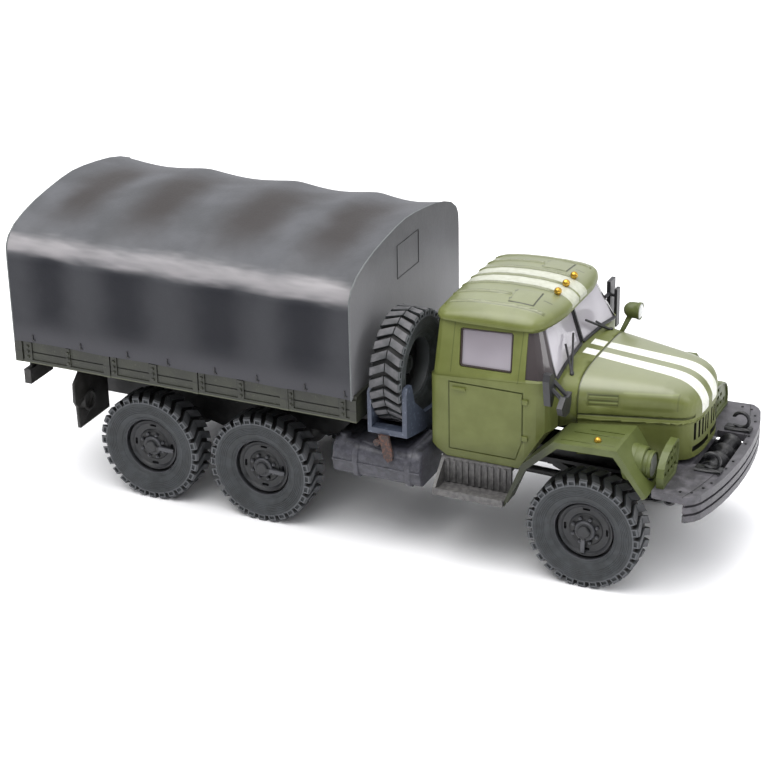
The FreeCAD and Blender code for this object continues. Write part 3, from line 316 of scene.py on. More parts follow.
lug = start_line("lug", [(r, y, -LUG_WIDTH / 2) for r, y in LUG_END])
bpy.ops.mesh.select_all(action="SELECT")
bpy.ops.mesh.edge_face_add()
bpy.ops.mesh.extrude_region_move(TRANSFORM_OT_translate={"value": (0, 0, LUG_WIDTH * MM)})
choose(lambda p: p.y < LUG_INNER_Y)
bpy.ops.transform.translate(value=(-LUG_DROP * MM, 0, LUG_SWEEP * MM))
bpy.ops.mesh.select_all(action="SELECT")
bpy.ops.mesh.normals_make_consistent(inside=False)
choose(lambda p, n: n.y > 0.9 and p.x < LUG_TOP_R, faces=True)
bpy.ops.mesh.inset(thickness=DISH_LIP * MM)
bpy.ops.mesh.extrude_region_move(TRANSFORM_OT_translate={"value": (0, -DISH_DEPTH * MM, 0)})
bpy.ops.mesh.select_all(action="SELECT")
bpy.ops.mesh.duplicate()
bpy.ops.transform.resize(value=(1, -1, 1), center_override=(0, 0, 0))
bpy.ops.mesh.flip_normals()
bpy.ops.mesh.select_all(action="SELECT")
bpy.ops.mesh.spin(steps=LUGS - 1, dupli=True, angle=2 * math.pi * (LUGS - 1) / LUGS,
                  center=(0, 0, 0), axis=(0, 1, 0))
bpy.ops.object.mode_set(mode="OBJECT")
tyre = join([carcass, lug], "tyre")

AXLES = {name: (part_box(name + "_axle_pin")[0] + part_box(name + "_axle_pin")[1]) / 2 for name in
         ("front", "middle", "rear")}
TYRE_MIDDLE = 21.93


def from_axle(along, rise):
    """Distance in mm from the nearest road axle's centre line."""
    reach = [((along - axle.x / MM) ** 2 + (rise - axle.z / MM) ** 2).root()
             for axle in AXLES.values()]
    return reach[0].least(reach[1]).least(reach[2])


def rubber_coat(finish, place, across, radius, wall, dusty, top):
    """Rubber: dusty walls and lug tops, pale painted highlights on the lug lips, painted shade down
    between the lugs.
    """
    dust = grain(place, 2.2).soft(0.40, 0.66) * 0.7 + grain(place, 9.0).soft(0.35, 0.70) * 0.3
    # Painted shade fills the carcass between the lugs; the lug lips get a painted highlight.
    shade_gap = (across < 3.3) * (radius < 12.45) * (radius > 11.0)
    lip_highlight = (across > 3.50) * radius.soft(11.15, 11.35)
    crown = radius.soft(12.7, 12.95)
    tone = blended(dust, wall, dusty)
    tone = blended(crown * (dust * 0.5 + 0.4), tone, top)
    tone = blended(lip_highlight * 0.5, tone, linear(104, 106, 110))
    tone = blended(shade_gap * 0.85, tone, linear(22, 20, 19))
    return coat(finish, tone, 0.60 + dust * 0.15, grain(place, 0.35, 2.0) * 0.5 + dust * 0.5, 0.05)


rubber, place, (x, y, z) = new_finish("dull_rubber")
rubber_coat(rubber, place, abs(abs(y) - TYRE_MIDDLE), from_axle(x, z), linear(39, 42, 44),
            linear(59, 62, 65), linear(92, 93, 96))
for name, axle in AXLES.items():
    pair = [twin(tyre, Matrix.Translation(axle + Vector((0, side * TYRE_MIDDLE * MM, 0))))
            for side in (-1, 1)]
    piece = settle(join(pair, name + "_tyre_pair"), rubber, name + "_wheels", 30)
    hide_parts(name + "_tyres")

# ---- wheel rims ------------------------------------------------------
# Dished steel rims cast in dark plastic: a thin rolled flange, a gap round the disc painted
# black as shade, four slots in the disc, a ring of eight studs with painted shade round them,
# a domed hub, and the arm of the air line that runs from the hub's middle towards the edge.
# The proudest faces carry painted highlights. The brake drum is moulded on behind.
# radius, and distance out from the tyre's middle plane
RIM_OUTLINE = (
    (0.0, -4.33), (5.0, -4.33), (5.0, -0.6), (6.3, -0.6), (6.3, -2.2), (6.9, -2.2), (6.9, 2.3),
    (6.85, 2.42), (6.76, 2.36), (6.72, 1.2), (6.66, 0.5), (6.36, 0.5), (6.3, 1.4), (6.18, 1.68),
    (5.9, 1.74), (5.6, 1.56), (5.3, 1.2), (4.3, 0.98), (3.85, 1.02), (3.72, 1.24), (3.5, 1.38),
    (2.55, 1.38), (2.38, 1.5), (2.28, 2.0), (2.05, 2.25), (1.5, 2.3), (1.4, 2.75), (1.15, 2.95),
    (0.0, 3.0))
ARM_TURN = {"front": -97.0, "middle": -10.0, "rear": -8.0}
ARM_LINE = (
    (0.2, 2.75, -0.5), (1.6, 2.75, -0.5), (2.4, 2.5, -0.46), (4.6, 2.25, -0.38),
    (5.5, 1.95, -0.28), (5.5, 1.3, -0.28), (0.2, 1.3, -0.5))
ARM_WIDTH, ARM_ROUND, RIM_STEPS = 0.95, 0.12, 72
SLOTS, SLOT_LOW, SLOT_HIGH, SLOT_ROUND = 4, (-0.85, 0.2, 4.5), (0.85, 3.0, 5.05), 0.22
STUDS, STUD_REACH = 8, 2.95
GAP_RING, GAP_FRONT, TIP_FRONT, STUD_FRONT = (6.51, 0.17, 0.04), 2.0, 1.92, 1.45
rim = turn("rim", RIM_OUTLINE, RIM_STEPS)


def bar(name, low, high, bevel=0.0, segments=2):
    """A block between two corners in mm, with its edges broken by a bevel."""
    low, high = Vector(low) * MM, Vector(high) * MM
    bpy.ops.object.select_all(action="DESELECT")
    bpy.ops.mesh.primitive_cube_add(size=1.0)
    piece = bpy.context.object
    piece.name = piece.data.name = name
    bpy.ops.object.mode_set(mode="EDIT")
    bpy.ops.transform.resize(value=high - low, center_override=(0, 0, 0))
    bpy.ops.transform.translate(value=(low + high) / 2)
    if bevel:
        bpy.ops.mesh.bevel(offset=bevel * MM, segments=segments, affect="EDGES")
    bpy.ops.object.mode_set(mode="OBJECT")
    return piece


def post(name, start, end, radius, tip=None, sides=24, bevel=0.0):
    """A round bar between two points in mm, tapered to the tip, its edges broken by a bevel."""
    start, end = Vector(start) * MM, Vector(end) * MM
    bpy.ops.object.select_all(action="DESELECT")
    tip = radius if tip is None else tip
    bpy.ops.mesh.primitive_cone_add(vertices=sides, radius1=radius * MM, radius2=tip * MM,
                                    depth=(end - start).length)
    piece = bpy.context.object
    piece.name = piece.data.name = name
    if bevel:
        bpy.ops.object.mode_set(mode="EDIT")
        choose(lambda p, n: n.z > 0.9, faces=True)
        bpy.ops.mesh.bevel(offset=bevel * MM, segments=2, affect="EDGES")
        bpy.ops.object.mode_set(mode="OBJECT")
    lean = (end - start).to_track_quat("Z", "Y").to_matrix().to_4x4()
    piece.data.transform(Matrix.Translation((start + end) / 2) @ lean)
    return piece


def carve(piece, cutter):
    """Take the cutter's shape out of the piece."""
    cut = piece.modifiers.new("cut", "BOOLEAN")
    cut.object, cut.operation, cut.solver = cutter, "DIFFERENCE", "EXACT"
    take(piece)
    bpy.ops.object.modifier_apply(modifier="cut")
    bpy.data.objects.remove(cutter)


slots = []
for i in range(SLOTS):
    slots.append(bar("slot", SLOT_LOW, SLOT_HIGH, SLOT_ROUND))
    slots[-1].data.transform(Matrix.Rotation(2 * math.pi / SLOTS * i, 4, "Y"))
carve(rim, join(slots, "slots"))


def stud_ring(reach, foot, head, tip):
    """Eight studs with domed tips round the hub; foot, head and tip are along the axle."""
    studs = []
    for i in range(STUDS):
        angle = 2 * math.pi * (i + 0.5) / STUDS
        at = Vector((reach * math.cos(angle), 0, reach * math.sin(angle)))
        out = [at + Vector((0, along, 0)) for along in (foot, head, head - 0.05, tip)]
        studs.append(post("stud", out[0], out[1], 0.48, 0.40, 6, 0.08))
        studs.append(post("stud_tip", out[2], out[3], 0.26, 0.2, 10))
    return studs


wheel = join([rim] + stud_ring(STUD_REACH, foot=1.25, head=1.98, tip=2.25), "wheel")
arm = start_line("air_arm", ARM_LINE)
bpy.ops.mesh.select_all(action="SELECT")
bpy.ops.mesh.edge_face_add()
bpy.ops.mesh.extrude_region_move(TRANSFORM_OT_translate={"value": (0, 0, ARM_WIDTH * MM)})
bpy.ops.mesh.select_all(action="SELECT")
bpy.ops.mesh.normals_make_consistent(inside=False)
bpy.ops.mesh.bevel(offset=ARM_ROUND * MM, segments=2, affect="EDGES")
bpy.ops.object.mode_set(mode="OBJECT")

dark_cast, place, (x, y, z) = new_finish("dark_rim_plastic")
wash = grain(place, 1.6).soft(0.35, 0.65)
radius, proud = from_axle(x, z), abs(y) - TYRE_MIDDLE
# Painted shade: black in the gap round the disc and round the studs; painted highlights on the proudest
# faces.
shade_gap = radius.near(*GAP_RING) * (proud < GAP_FRONT)
stud_shade = radius.near(STUD_REACH, 0.62, 0.15) * (proud < STUD_FRONT)
tip_highlights = (proud > TIP_FRONT) * (radius > 2.0)
tone = blended(wash, linear(26, 27, 29), linear(41, 42, 45))
tone = blended(shade_gap + stud_shade * 0.7, tone, linear(8, 8, 9))
tone = blended(tip_highlights * 0.6, tone, linear(86, 87, 92))
coat(dark_cast, tone, 0.42 + wash * 0.16, grain(place, 0.3, 2.0), 0.02)
for name, axle in AXLES.items():
    lean = Matrix.Rotation(math.radians(-ARM_TURN[name]), 4, "Y")
    outer = join([twin(wheel, Matrix.Identity(4)), twin(arm, lean)], "wheel_with_arm")
    out = Matrix.Translation((0, TYRE_MIDDLE * MM, 0))
    pair = [twin(outer, Matrix.Translation(axle) @ out),
            twin(outer, Matrix.Translation(axle) @ Matrix.Scale(-1, 4, (0, 1, 0)) @ out, flip=True)]
    piece = settle(join(pair, name + "_rim_pair"), dark_cast, name + "_wheels", 35)
    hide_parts(name + "_rims")
    bpy.data.objects.remove(outer)

# ---- spare wheel -----------------------------------------------------
# The seventh tyre stands across the frame behind the cab, dustier than the others, on a
# bare rim whose disc lies deep inside; its hollow is painted dark as shade, darkest deepest in,
# round a small hub and studs.
SPARE = (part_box("spare_tyre")[0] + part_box("spare_tyre")[1]) / 2
SPARE_OUTLINE = ((0.0, -1.93), (6.45, -1.93), (6.45, -2.23), (6.9, -2.23), (6.9, 2.1), (6.8, 2.17),
                 (6.5, 2.17), (6.45, 2.05), (6.43, -0.9), (6.2, -1.03), (4.6, -1.12), (3.9, -1.05),
                 (2.3, -1.03), (2.15, -0.85), (2.1, 0.1), (1.9, 0.35), (1.5, 0.37), (1.3, 0.2),
                 (0.0, 0.2))
SPARE_STUD_REACH = 3.1
across_frame = Matrix.Translation(SPARE) @ Matrix.Rotation(math.radians(-90), 4, "Z")
spare_rubber, place, (x, y, z) = new_finish("dusty_spare_rubber")
spread = (y - SPARE.y / MM) ** 2 + (z - SPARE.z / MM) ** 2
rubber_coat(spare_rubber, place, abs(x - SPARE.x / MM), spread.root(), linear(34, 38, 39),
            linear(60, 65, 67), linear(102, 100, 103))
piece = settle(twin(tyre, across_frame), spare_rubber, smooth=30)
piece.name = "spare_tyre_moulding"
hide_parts("spare_tyre")
spare = join([turn("spare_rim", SPARE_OUTLINE, RIM_STEPS)]
             + stud_ring(SPARE_STUD_REACH, foot=-1.1, head=-0.55, tip=-0.33), "spare_rim_moulding")
spare.data.transform(across_frame)
rim_hollow_shade, place, (x, *_) = new_finish("rim_hollow_painted_shade")
# Painted shade: the hollow is darker the deeper it lies.
depth = (x - SPARE.x / MM).soft(-1.2, 2.2)
coat(rim_hollow_shade, blended(depth, linear(16, 16, 17), linear(70, 74, 76)), 0.5, grain(place, 0.4), 0.02)
settle(spare, rim_hollow_shade, smooth=35)
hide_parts("spare_rim")
for template in (tyre, wheel, arm):
    bpy.data.objects.remove(template)

# ---- frame, axles and drive line -------------------------------------
# The underside is one dark moulding on the real model: channel rails, cross bars, leaf
# springs, axle casings with their bowls, gearbox, shafts and exhaust, with dust on top.
BODY_OF = {node: body for body, nodes in frame["record"]["behaviour"]["bodies"].items()
           for node in nodes}
FIN_TURNS = 7.0


def paint_node(node, finish):
    """Give a casting that keeps its own shape its finish."""
    part = frame["nodes"][node]
    part.data.materials.clear()
    part.data.materials.append(finish)
    for face in part.data.polygons:
        face.material_index = 0


def recast(node, finish, smooth=32):
    """The same casting with its facets joined, so that its faces shade as one surface."""
    piece = bpy.data.objects.new(node + "_cast", frame["nodes"][node].data.copy())
    bpy.context.scene.collection.objects.link(piece)
    take(piece)
    bpy.ops.object.mode_set(mode="EDIT")
    bpy.ops.mesh.select_all(action="SELECT")
    bpy.ops.mesh.remove_doubles(threshold=WELD)
    bpy.ops.object.mode_set(mode="OBJECT")
    settle(piece, finish, BODY_OF[node], smooth)
    weigh = piece.modifiers.new("even_shading", "WEIGHTED_NORMAL")
    weigh.mode, weigh.keep_sharp = "FACE_AREA", True
    bpy.ops.object.modifier_apply(modifier="even_shading")
    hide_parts(node)
    return piece


under_grey, place, _ = new_finish("chassis_plastic")
worn = grain(place, 3.0).soft(0.40, 0.68)
coat(under_grey, blended(worn, linear(26, 26, 26), linear(44, 44, 45)), 0.52 + worn * 0.12,
     grain(place, 0.4, 2.0), 0.02)
for node in ("rails", "crossmembers", "leaf_springs", "gearbox", "bed_runners", "bed_bearers"):
    paint_node(node, under_grey)
for node in ("front_axle", "middle_axle", "rear_axle", "drive_shafts", "exhaust", "rear_hitch"):
    recast(node, under_grey)
bare_steel, place, _ = new_finish("ground_steel_pin")
coat(bare_steel, linear(168, 170, 172), grain(place, 0.5) * 0.14 + 0.28, Metallic=1.0)
for name in AXLES:
    paint_node(name + "_axle_pin", bare_steel)
radiator_and_shade_black, place, (_, y, _) = new_finish("radiator_black_and_shade_sheet")
fins = (y * FIN_TURNS).wave().soft(-0.6, 0.6)
coat(radiator_and_shade_black, blended(fins, linear(10, 10, 11), linear(26, 26, 28)), 0.6, fins, 0.05)
paint_node("radiator", radiator_and_shade_black)

# ---- tanks and steps -------------------------------------------------
# Long fuel tanks with rounded sides hang on the rails under the bed's front end. The entry
# steps are pressed trays with ribbed risers. Both are sprayed a cool, faintly speckled grey.
SEAM_LOW, SEAM_HIGH = (-2.6, -27.75, 20.7), (18.8, -26.9, 21.0)
tank_grey, place, _ = new_finish("tank_grey")
mottle = grain(place, 1.2).soft(0.36, 0.66)
speckle = grain(place, 0.22, 2.0).soft(0.66, 0.72)
tone = blended(mottle, linear(50, 50, 57), linear(67, 67, 75))
coat(tank_grey, blended(speckle * 0.3, tone, linear(150, 150, 155)), 0.48, grain(place, 0.3, 2.0), 0.03)
recast("fuel_tanks", tank_grey, 50)
step_grey, place, (*_, z) = new_finish("step_grey")
scuff = grain(place, 0.9).soft(0.40, 0.64)
tread = z.soft(12.0, 17.5)
tone = blended(scuff, linear(86, 84, 83), linear(114, 112, 110))
coat(step_grey, blended(tread * 0.45, tone, linear(50, 50, 52)), 0.42, grain(place, 0.3, 2.0), 0.03)
paint_node("steps", step_grey)
seam = bar("tank_seam", SEAM_LOW, SEAM_HIGH, 0.1, 1)
other = twin(seam, Matrix.Scale(-1, 4, (0, 1, 0)), flip=True)
settle(join([seam, other], "tank_seams"), tank_grey)

# ---- cab -------------------------------------------------------------
# The hollow cab is cast metal sprayed in a satin light olive. The door's shut lines are dark,
# the window frame's lines are painted shade, the shell is darker towards the bottom, and the
# two white bands cross the scuttle in front of the screen.
OLIVE, OLIVE_DARK, OLIVE_LIGHT = linear(92, 98, 49), linear(38, 42, 20), linear(102, 108, 59)
WHITE, WORN_WHITE = linear(226, 227, 220), linear(206, 207, 196)
DOOR_REAR_X, DOOR_FRONT_X, DOOR_TOP_Z, DOOR_FOOT_Z, ARCH_Z = 23.65, 40.65, 42.05, 26.0, 30.6
BELT_Z, CAB_SIDE_Y, FRAME_Y, FRAME_TOP_Z, FRAME_X = 44.0, 22.0, 17.5, 54.6, (39.4, 23.75)
SCUTTLE_X, SCUTTLE_Z = (47.3, 50.35), 40.0


def olive_spray(name, base, light):
    """Satin olive: soft cloudiness and fine orange peel."""
    finish, place, axes = new_finish(name)
    cloud = grain(place, 7.0, 4.0).soft(0.32, 0.70)
    return finish, place, axes, blended(cloud, base, light), grain(place, 0.30, 2.0)


def satin(finish, colour, peel, sheen, relief=None, depth=0.012):
    """Close an olive finish: sheen is how thick the satin lacquer lies."""
    return coat(finish, colour, 0.40 + peel * 0.10, relief or peel, depth, Coat_Weight=sheen,
                Coat_Roughness=0.30, Specular_IOR_Level=0.3)


def white_bands(place, across, inner, outer):
    """Mask and colour of the sprayed bands between two distances from the middle."""
    ragged = grain(place, 0.8, 2.0) * 0.10
    mask = (across + ragged > inner) * (outer - across - ragged > 0.0)
    return mask, blended(grain(place, 1.4).soft(0.35, 0.7), WHITE, WORN_WHITE)


olive, place, (x, y, z), tone, peel = olive_spray("cab_olive", OLIVE, OLIVE_LIGHT)
rear_line = x.near(DOOR_REAR_X, 0.12) * (z > DOOR_FOOT_Z)
front_line = x.near(DOOR_FRONT_X, 0.14) * (z > ARCH_Z)
top_line = z.near(DOOR_TOP_Z, 0.12) * (x > DOOR_REAR_X - 0.15)
door_lines = rear_line.most(front_line).most(top_line) * (z < DOOR_TOP_Z + 0.25)
door_lines = door_lines * (x < DOOR_FRONT_X + 0.25) * (abs(y) > CAB_SIDE_Y)
# Painted shade lines down the window frame's uprights.
frame_shade_lines = x.near(FRAME_X[0], 0.07).most(x.near(FRAME_X[1], 0.07)) * z.between(BELT_Z, FRAME_TOP_Z)
frame_shade_lines = frame_shade_lines * (abs(y) > FRAME_Y)
# Darker towards the bottom.
low = 1.0 - z.soft(23.0, 31.0)
band, whites = white_bands(place, abs(y), 1.2, 4.1)
tone = blended(band * x.between(*SCUTTLE_X) * (z > SCUTTLE_Z), tone, whites)
tone = blended(low * 0.3, tone, OLIVE_DARK)
tone = blended((door_lines * 0.4).most(frame_shade_lines * 0.4), tone, OLIVE_DARK)
satin(olive, tone, peel, 0.05)
recast("cab_shell", olive, 28)
dark_trim, place, _ = new_finish("satin_black_trim")
scuff = grain(place, 1.1).soft(0.42, 0.70)
coat(dark_trim, blended(scuff, linear(24, 24, 26), linear(48, 48, 51)), 0.38 + scuff * 0.2,
     grain(place, 0.35), 0.02)
recast("door_fittings", olive, 30)

# ---- windows ---------------------------------------------------------
# Clear moulded panes sit just inside their openings in dark rubber, coloured a pale lilac grey
# and made little transparent as painted reflection of the white room. The windscreen is painted
# dark at its outer edges as shade, and a narrow strip stands between its two halves.
SCREEN_FOOT_Z, SCREEN_HEAD_Z = 44.75, 54.9
SCREEN_EDGE = (  # distance from the middle, and height
    (0.45, 46.0), (6.0, 45.85), (12.0, 45.7), (17.9, 45.0), (18.3, 45.2), (16.7, 49.6), (15.1, 54.2),
    (8.0, 54.4), (0.45, 54.4))
SIDE_EDGE = (  # distance along, and height
    (25.85, 46.0), (26.2, 45.65), (37.3, 45.95), (37.55, 46.25), (37.05, 53.5), (36.7, 53.85),
    (25.7, 53.35), (25.35, 53.05))
STRIP_PLACE, STRIP_LEAN, STRIP_HALF = (44.55, 0, 50.2), -18.0, Vector((0.25, 0.32, 4.3))


def pane(name, low_tone, high_tone, cover, shaded=None):
    """A clear plastic pane: its two tones of painted reflection, how much it covers, and where it is
    painted dark as shade.
    """
    finish, place, axes = new_finish(name)
    reflection_cloud = grain(place, 14.0, 1.0).soft(0.3, 0.7)
    tone = blended(reflection_cloud, low_tone, high_tone)
    if shaded:
        dark = shaded(*axes)
        tone = blended(dark, tone, linear(34, 24, 19))
        cover = dark * 0.3 + cover
    return coat(finish, tone, 0.08, Alpha=reflection_cloud * 0.05 + cover, Coat_Weight=0.6, Coat_Roughness=0.03)


def screen_corner(x, y, z):
    """Where the windscreen is painted dark as shade, along its leaning outer edges."""
    return (abs(y) - (SCREEN_HEAD_Z - z) * 0.30 - 14.2).soft(0.0, 1.2) * 0.92


# Pale lilac tones as painted reflection of the white room.
side_pane = pane("clear_side_pane", linear(142, 136, 143), linear(160, 155, 162), 0.82)
paint_node("cab_windows", side_pane)
front_pane = pane("clear_windscreen", linear(186, 182, 190), linear(204, 200, 208), 0.66, screen_corner)
paint_node("windscreen", front_pane)


def bead(name, corners, radius, closed=True):
    """A round bead laid along corner points in mm, as a mesh."""
    curve = bpy.data.curves.new(name, "CURVE")
    curve.dimensions, curve.bevel_depth, curve.bevel_resolution = "3D", radius * MM, 2
    curve.use_fill_caps = not closed
    run = curve.splines.new("POLY")
    run.points.add(len(corners) - 1)
    for point, corner in zip(run.points, corners):
        point.co = tuple(c * MM for c in corner) + (1.0,)
    run.use_cyclic_u = closed
    piece = bpy.data.objects.new(name, curve)
    bpy.context.scene.collection.objects.link(piece)
    take(piece)
    bpy.ops.object.convert(target="MESH")
    return bpy.context.object


def screen_x(z, y):
    """How far forward the curved windscreen stands at a height and distance from the middle."""
    share = (z - SCREEN_FOOT_Z) / (SCREEN_HEAD_Z - SCREEN_FOOT_Z)
    foot = 46.1 + 0.8 * min(1.0, abs(y) / 18.2)
    head = 42.8 + 0.4 * min(1.0, abs(y) / 10.7) - 1.2 * max(0.0, abs(y) - 10.7) / 5.3
    return foot + (head - foot) * share


def side_y(x, z):
    """Outer face of the cab's side above the belt line."""
    belt = 42.9 + 0.066 * (x - 19.0)
    return CAB_SIDE_Y - 3.25 * (z - belt) / (SCREEN_HEAD_Z - belt)


brown_seal, place, _ = new_finish("brown_window_seal")
coat(brown_seal, blended(grain(place, 1.5), linear(24, 17, 14), linear(48, 34, 27)), 0.5)
for side, hand in ((-1, "right"), (1, "left")):
    edge = [(screen_x(z, y) - 0.05, side * y, z) for y, z in SCREEN_EDGE]
    settle(bead("screen_seal_" + hand, edge, 0.19), dark_trim, smooth=40)
    foot = [(screen_x(z - 0.2, y) + 0.1, side * y, z - 0.2) for y, z in SCREEN_EDGE[:5]]
    settle(bead("screen_foot_rubber_" + hand, foot, 0.27, False), dark_trim, smooth=40)
    edge = [(x, side * (side_y(x, z) - 0.40), z) for x, z in SIDE_EDGE]
    settle(bead("door_seal_" + hand, edge, 0.26), brown_seal, smooth=40)
strip = bar("screen_strip", -STRIP_HALF, STRIP_HALF, 0.1)
strip.data.transform(Matrix.Translation(Vector(STRIP_PLACE) * MM)
                     @ Matrix.Rotation(math.radians(STRIP_LEAN), 4, "Y"))
settle(strip, dark_trim)

# ---- roof ------------------------------------------------------------
# The roof is a separate pressing with seven ribs and two hatches, and a bead of paint round
# its lower edge. The two white bands fill the spaces beside the middle rib. Its top is painted
# paler as sheen, and painted shade lines run along its ribs.
RIBS = ((0.0, 40.8), (4.85, 40.8), (9.7, 33.0), (14.45, 42.4))  # from the middle, and front end
RIB_REAR_X, DRIP_Z, TOP_SHEEN = 19.6, 55.0, linear(158, 160, 146)
HATCH_REAR_X, HATCH_FRONT_X, HATCH_INNER_Y, HATCH_OUTER_Y = 33.5, 39.3, 6.9, 13.0
ROOF_EDGE = ((19.3, -16.9), (19.9, -17.95), (21.0, -18.75), (34.0, -18.85), (39.9, -18.55),
             (41.4, -17.95), (42.2, -17.05), (42.7, -16.05), (43.0, -14.85), (43.25, -10.7),
             (42.95, -3.7), (42.85, 0.0))


def any_of(masks):
    """The strongest of several masks at each point."""
    first, *others = masks
    for other in others:
        first = first.most(other)
    return first


roof_olive, place, (x, y, z), tone, peel = olive_spray("roof_olive", OLIVE, OLIVE_LIGHT)
off = abs(y)
band, whites = white_bands(place, off, 0.42, 4.5)
# Painted sheen: the top is paler.
tone = blended(z.soft(56.6, 58.6) * 0.22, tone, TOP_SHEEN)
tone = blended(band * (z > 55.4) * 0.46, tone, whites)
rib_shade_lines = any_of(abs(off - rib).near(0.36, 0.05, 0.08) * x.between(RIB_REAR_X, front)
                   for rib, front in RIBS)
along_hatch = x.between(HATCH_REAR_X, HATCH_FRONT_X)
across_hatch = off.between(HATCH_INNER_Y, HATCH_OUTER_Y + 0.1)
wide_gap = (off.near(HATCH_OUTER_Y, 0.10) * along_hatch).most(
    x.near(HATCH_FRONT_X, 0.10) * across_hatch)
thin_gap = (off.near(HATCH_INNER_Y, 0.06) * along_hatch).most(
    x.near(HATCH_REAR_X, 0.06) * across_hatch)
slots = off.near(9.8, 0.16) * x.between(40.4, 42.4)
hinges = off.near(7.9, 0.30).most(off.near(11.6, 0.30)) * x.near(HATCH_REAR_X - 0.05, 0.30)
# Painted shade lines along the ribs, with the hatches' dark outlines and the slots and hinges drawn
# dark.
shade_and_joint_lines = any_of((rib_shade_lines * 0.55, wide_gap * 0.9, thin_gap * 0.5, slots * 0.6, hinges * 0.7))
tone = blended(shade_and_joint_lines * (z > 55.6), tone, OLIVE_DARK)
satin(roof_olive, tone, peel, z.soft(55.6, 57.6) * 0.9)
recast("cab_roof", roof_olive, 35)
edge = [(x, y, DRIP_Z) for x, y in ROOF_EDGE] + [(x, -y, DRIP_Z) for x, y in ROOF_EDGE[-2::-1]]
settle(bead("roof_drip_bead", edge, 0.26), olive, smooth=60)

# ---- hood ------------------------------------------------------------
# The long rounded hood is one casting with a grooved moulding, a louvred recess and a second
# pressed panel in each side, and a slotted grille. Painted shade lines and highlights draw the
# louvre slats, the groove and the panel's edges, the slots are painted black as shade, and a black
# sheet behind the grille stands as painted shade. Its top is painted paler as sheen. The two
# white bands run on over it, widening to the nose.
GRILLE_X, GRILLE_Z, GRILLE_SLOTS_Y = 72.0, (30.98, 35.02), (0.95, 2.55, 4.15, 5.75, 7.35)
LONG_SLOT_Y, LONG_SLOT_Z, HOOD_SIDE_Y = (0.78, 8.42), 29.0, 8.0
GROOVE_Z, GROOVE_FRONT_X, HOOD_REAR_X, BANDS_REAR_X = 36.55, 74.4, 50.7, 51.05
SHADE_SHEET_LOW, SHADE_SHEET_HIGH = (73.55, -8.6, 28.0), (73.8, 8.6, 35.4)
hood_olive, place, (x, y, z), tone, peel = olive_spray("hood_olive", OLIVE, OLIVE_LIGHT)
off = abs(y)
band, whites = white_bands(place, off, 1.30, x * 0.038 + 2.32)
# Painted sheen: the top is paler.
tone = blended(z.soft(40.6, 43.2) * 0.26, tone, TOP_SHEEN)
tone = blended(band * (z > 36.3) * (x > BANDS_REAR_X) * 0.92, tone, whites)
# Where the grille's slot walls are painted black as shade.
slot_wall_shade = any_of(off.near(low_y + 0.375, 0.39, 0.03) for low_y in GRILLE_SLOTS_Y)
slot_wall_shade = slot_wall_shade * (x > GRILLE_X) * z.between(*GRILLE_Z)
long_slot_shade = (x > GRILLE_X) * z.near(LONG_SLOT_Z, 0.61, 0.02) * off.between(*LONG_SLOT_Y)
groove = z.near(GROOVE_Z, 0.18) * (x < GROOVE_FRONT_X)
seam = x.near(HOOD_REAR_X, 0.22)
on_side = off > HOOD_SIDE_Y
slat_shade = any_of((z.near(39.75, 0.16), z.near(38.78, 0.10), z.near(41.0, 0.12))) * x.between(52.9, 59.1)
slat_highlights = z.near(39.3, 0.09).most(z.near(40.6, 0.09)) * x.between(53.1, 58.9)
panel = x.soft(59.4, 61.4) * (1.0 - x.soft(69.8, 71.6)) * on_side
panel = panel * z.soft(37.9, 39.1) * (1.0 - z.soft(40.9, 42.1))
panel_top_highlight = z.near(41.75, 0.12) * x.between(60.0, 71.2) * on_side
panel_end_shade = x.near(71.3, 0.14) * z.between(38.3, 41.8) * on_side
# Painted shade in the moulding's groove, between the louvre slats and at the panel's end, with the dark
# seam line; painted highlights on the slat edges and the panel's top; black painted shade in the
# grille's slots.
shade_and_joint_lines = any_of((groove * 0.5, seam * 0.6, slat_shade * on_side * 0.6, panel_end_shade * 0.25))
tone = blended(shade_and_joint_lines, tone, OLIVE_DARK)
tone = blended((slat_highlights * on_side).most(panel_top_highlight * 0.4) * 0.5, tone, linear(140, 150, 96))
tone = blended(slot_wall_shade.most(long_slot_shade) * 0.95, tone, linear(9, 9, 9))
pressed = peel * 0.05 + panel - groove - seam
satin(hood_olive, tone, peel, z.soft(38.5, 42.5) * 0.9, pressed, 0.16)
recast("hood", hood_olive, 30)
# A black sheet behind the grille's slots, as painted shade.
settle(bar("grille_shade_sheet", SHADE_SHEET_LOW, SHADE_SHEET_HIGH), radiator_and_shade_black)

# ---- front wings and lamps -------------------------------------------
# Flat-topped wings folded from sheet. A deep round lamp bowl sits in each, behind an oval
# slotted guard on a foot. Beads of brass serve as side lamps.
WING, WING_DARK, WING_LIGHT = linear(74, 82, 40), linear(24, 26, 19), linear(84, 92, 50)
LAMP_Y, LAMP_Z, BOWL_FRONT_X, RING_X, FLUTE_TURNS = 19.7, 29.5, 67.4, 68.7, 9.0
BOWL_OUTLINE = ((3.3, -4.0), (4.0, -3.85), (4.12, -3.4), (4.04, -2.4), (3.92, -1.55), (3.98, -1.4),
                (3.9, -1.25), (3.7, 0.0), (3.66, 0.25), (3.3, 0.4), (3.3, -4.0))
RING_OUTLINE = ((2.85, -0.16), (3.08, -0.16), (3.16, 0.0), (3.08, 0.16), (2.85, 0.16), (2.85, -0.16))
wing_olive, place, (x, y, z), tone, peel = olive_spray("wing_olive", WING, WING_LIGHT)
low = 1.0 - z.soft(17.0, 30.0)
rear_flank = (1.0 - x.soft(46.0, 53.0)) * 0.85
satin(wing_olive, blended((low * 0.2).most(rear_flank), tone, WING_DARK), peel, 0.15)
for node, smooth in (("front_wings", 24), ("headlamps", 30), ("headlamp_guards", 30)):
    recast(node, wing_olive, smooth)
lamp_clear, place, (_, y, _) = new_finish("ribbed_lens")
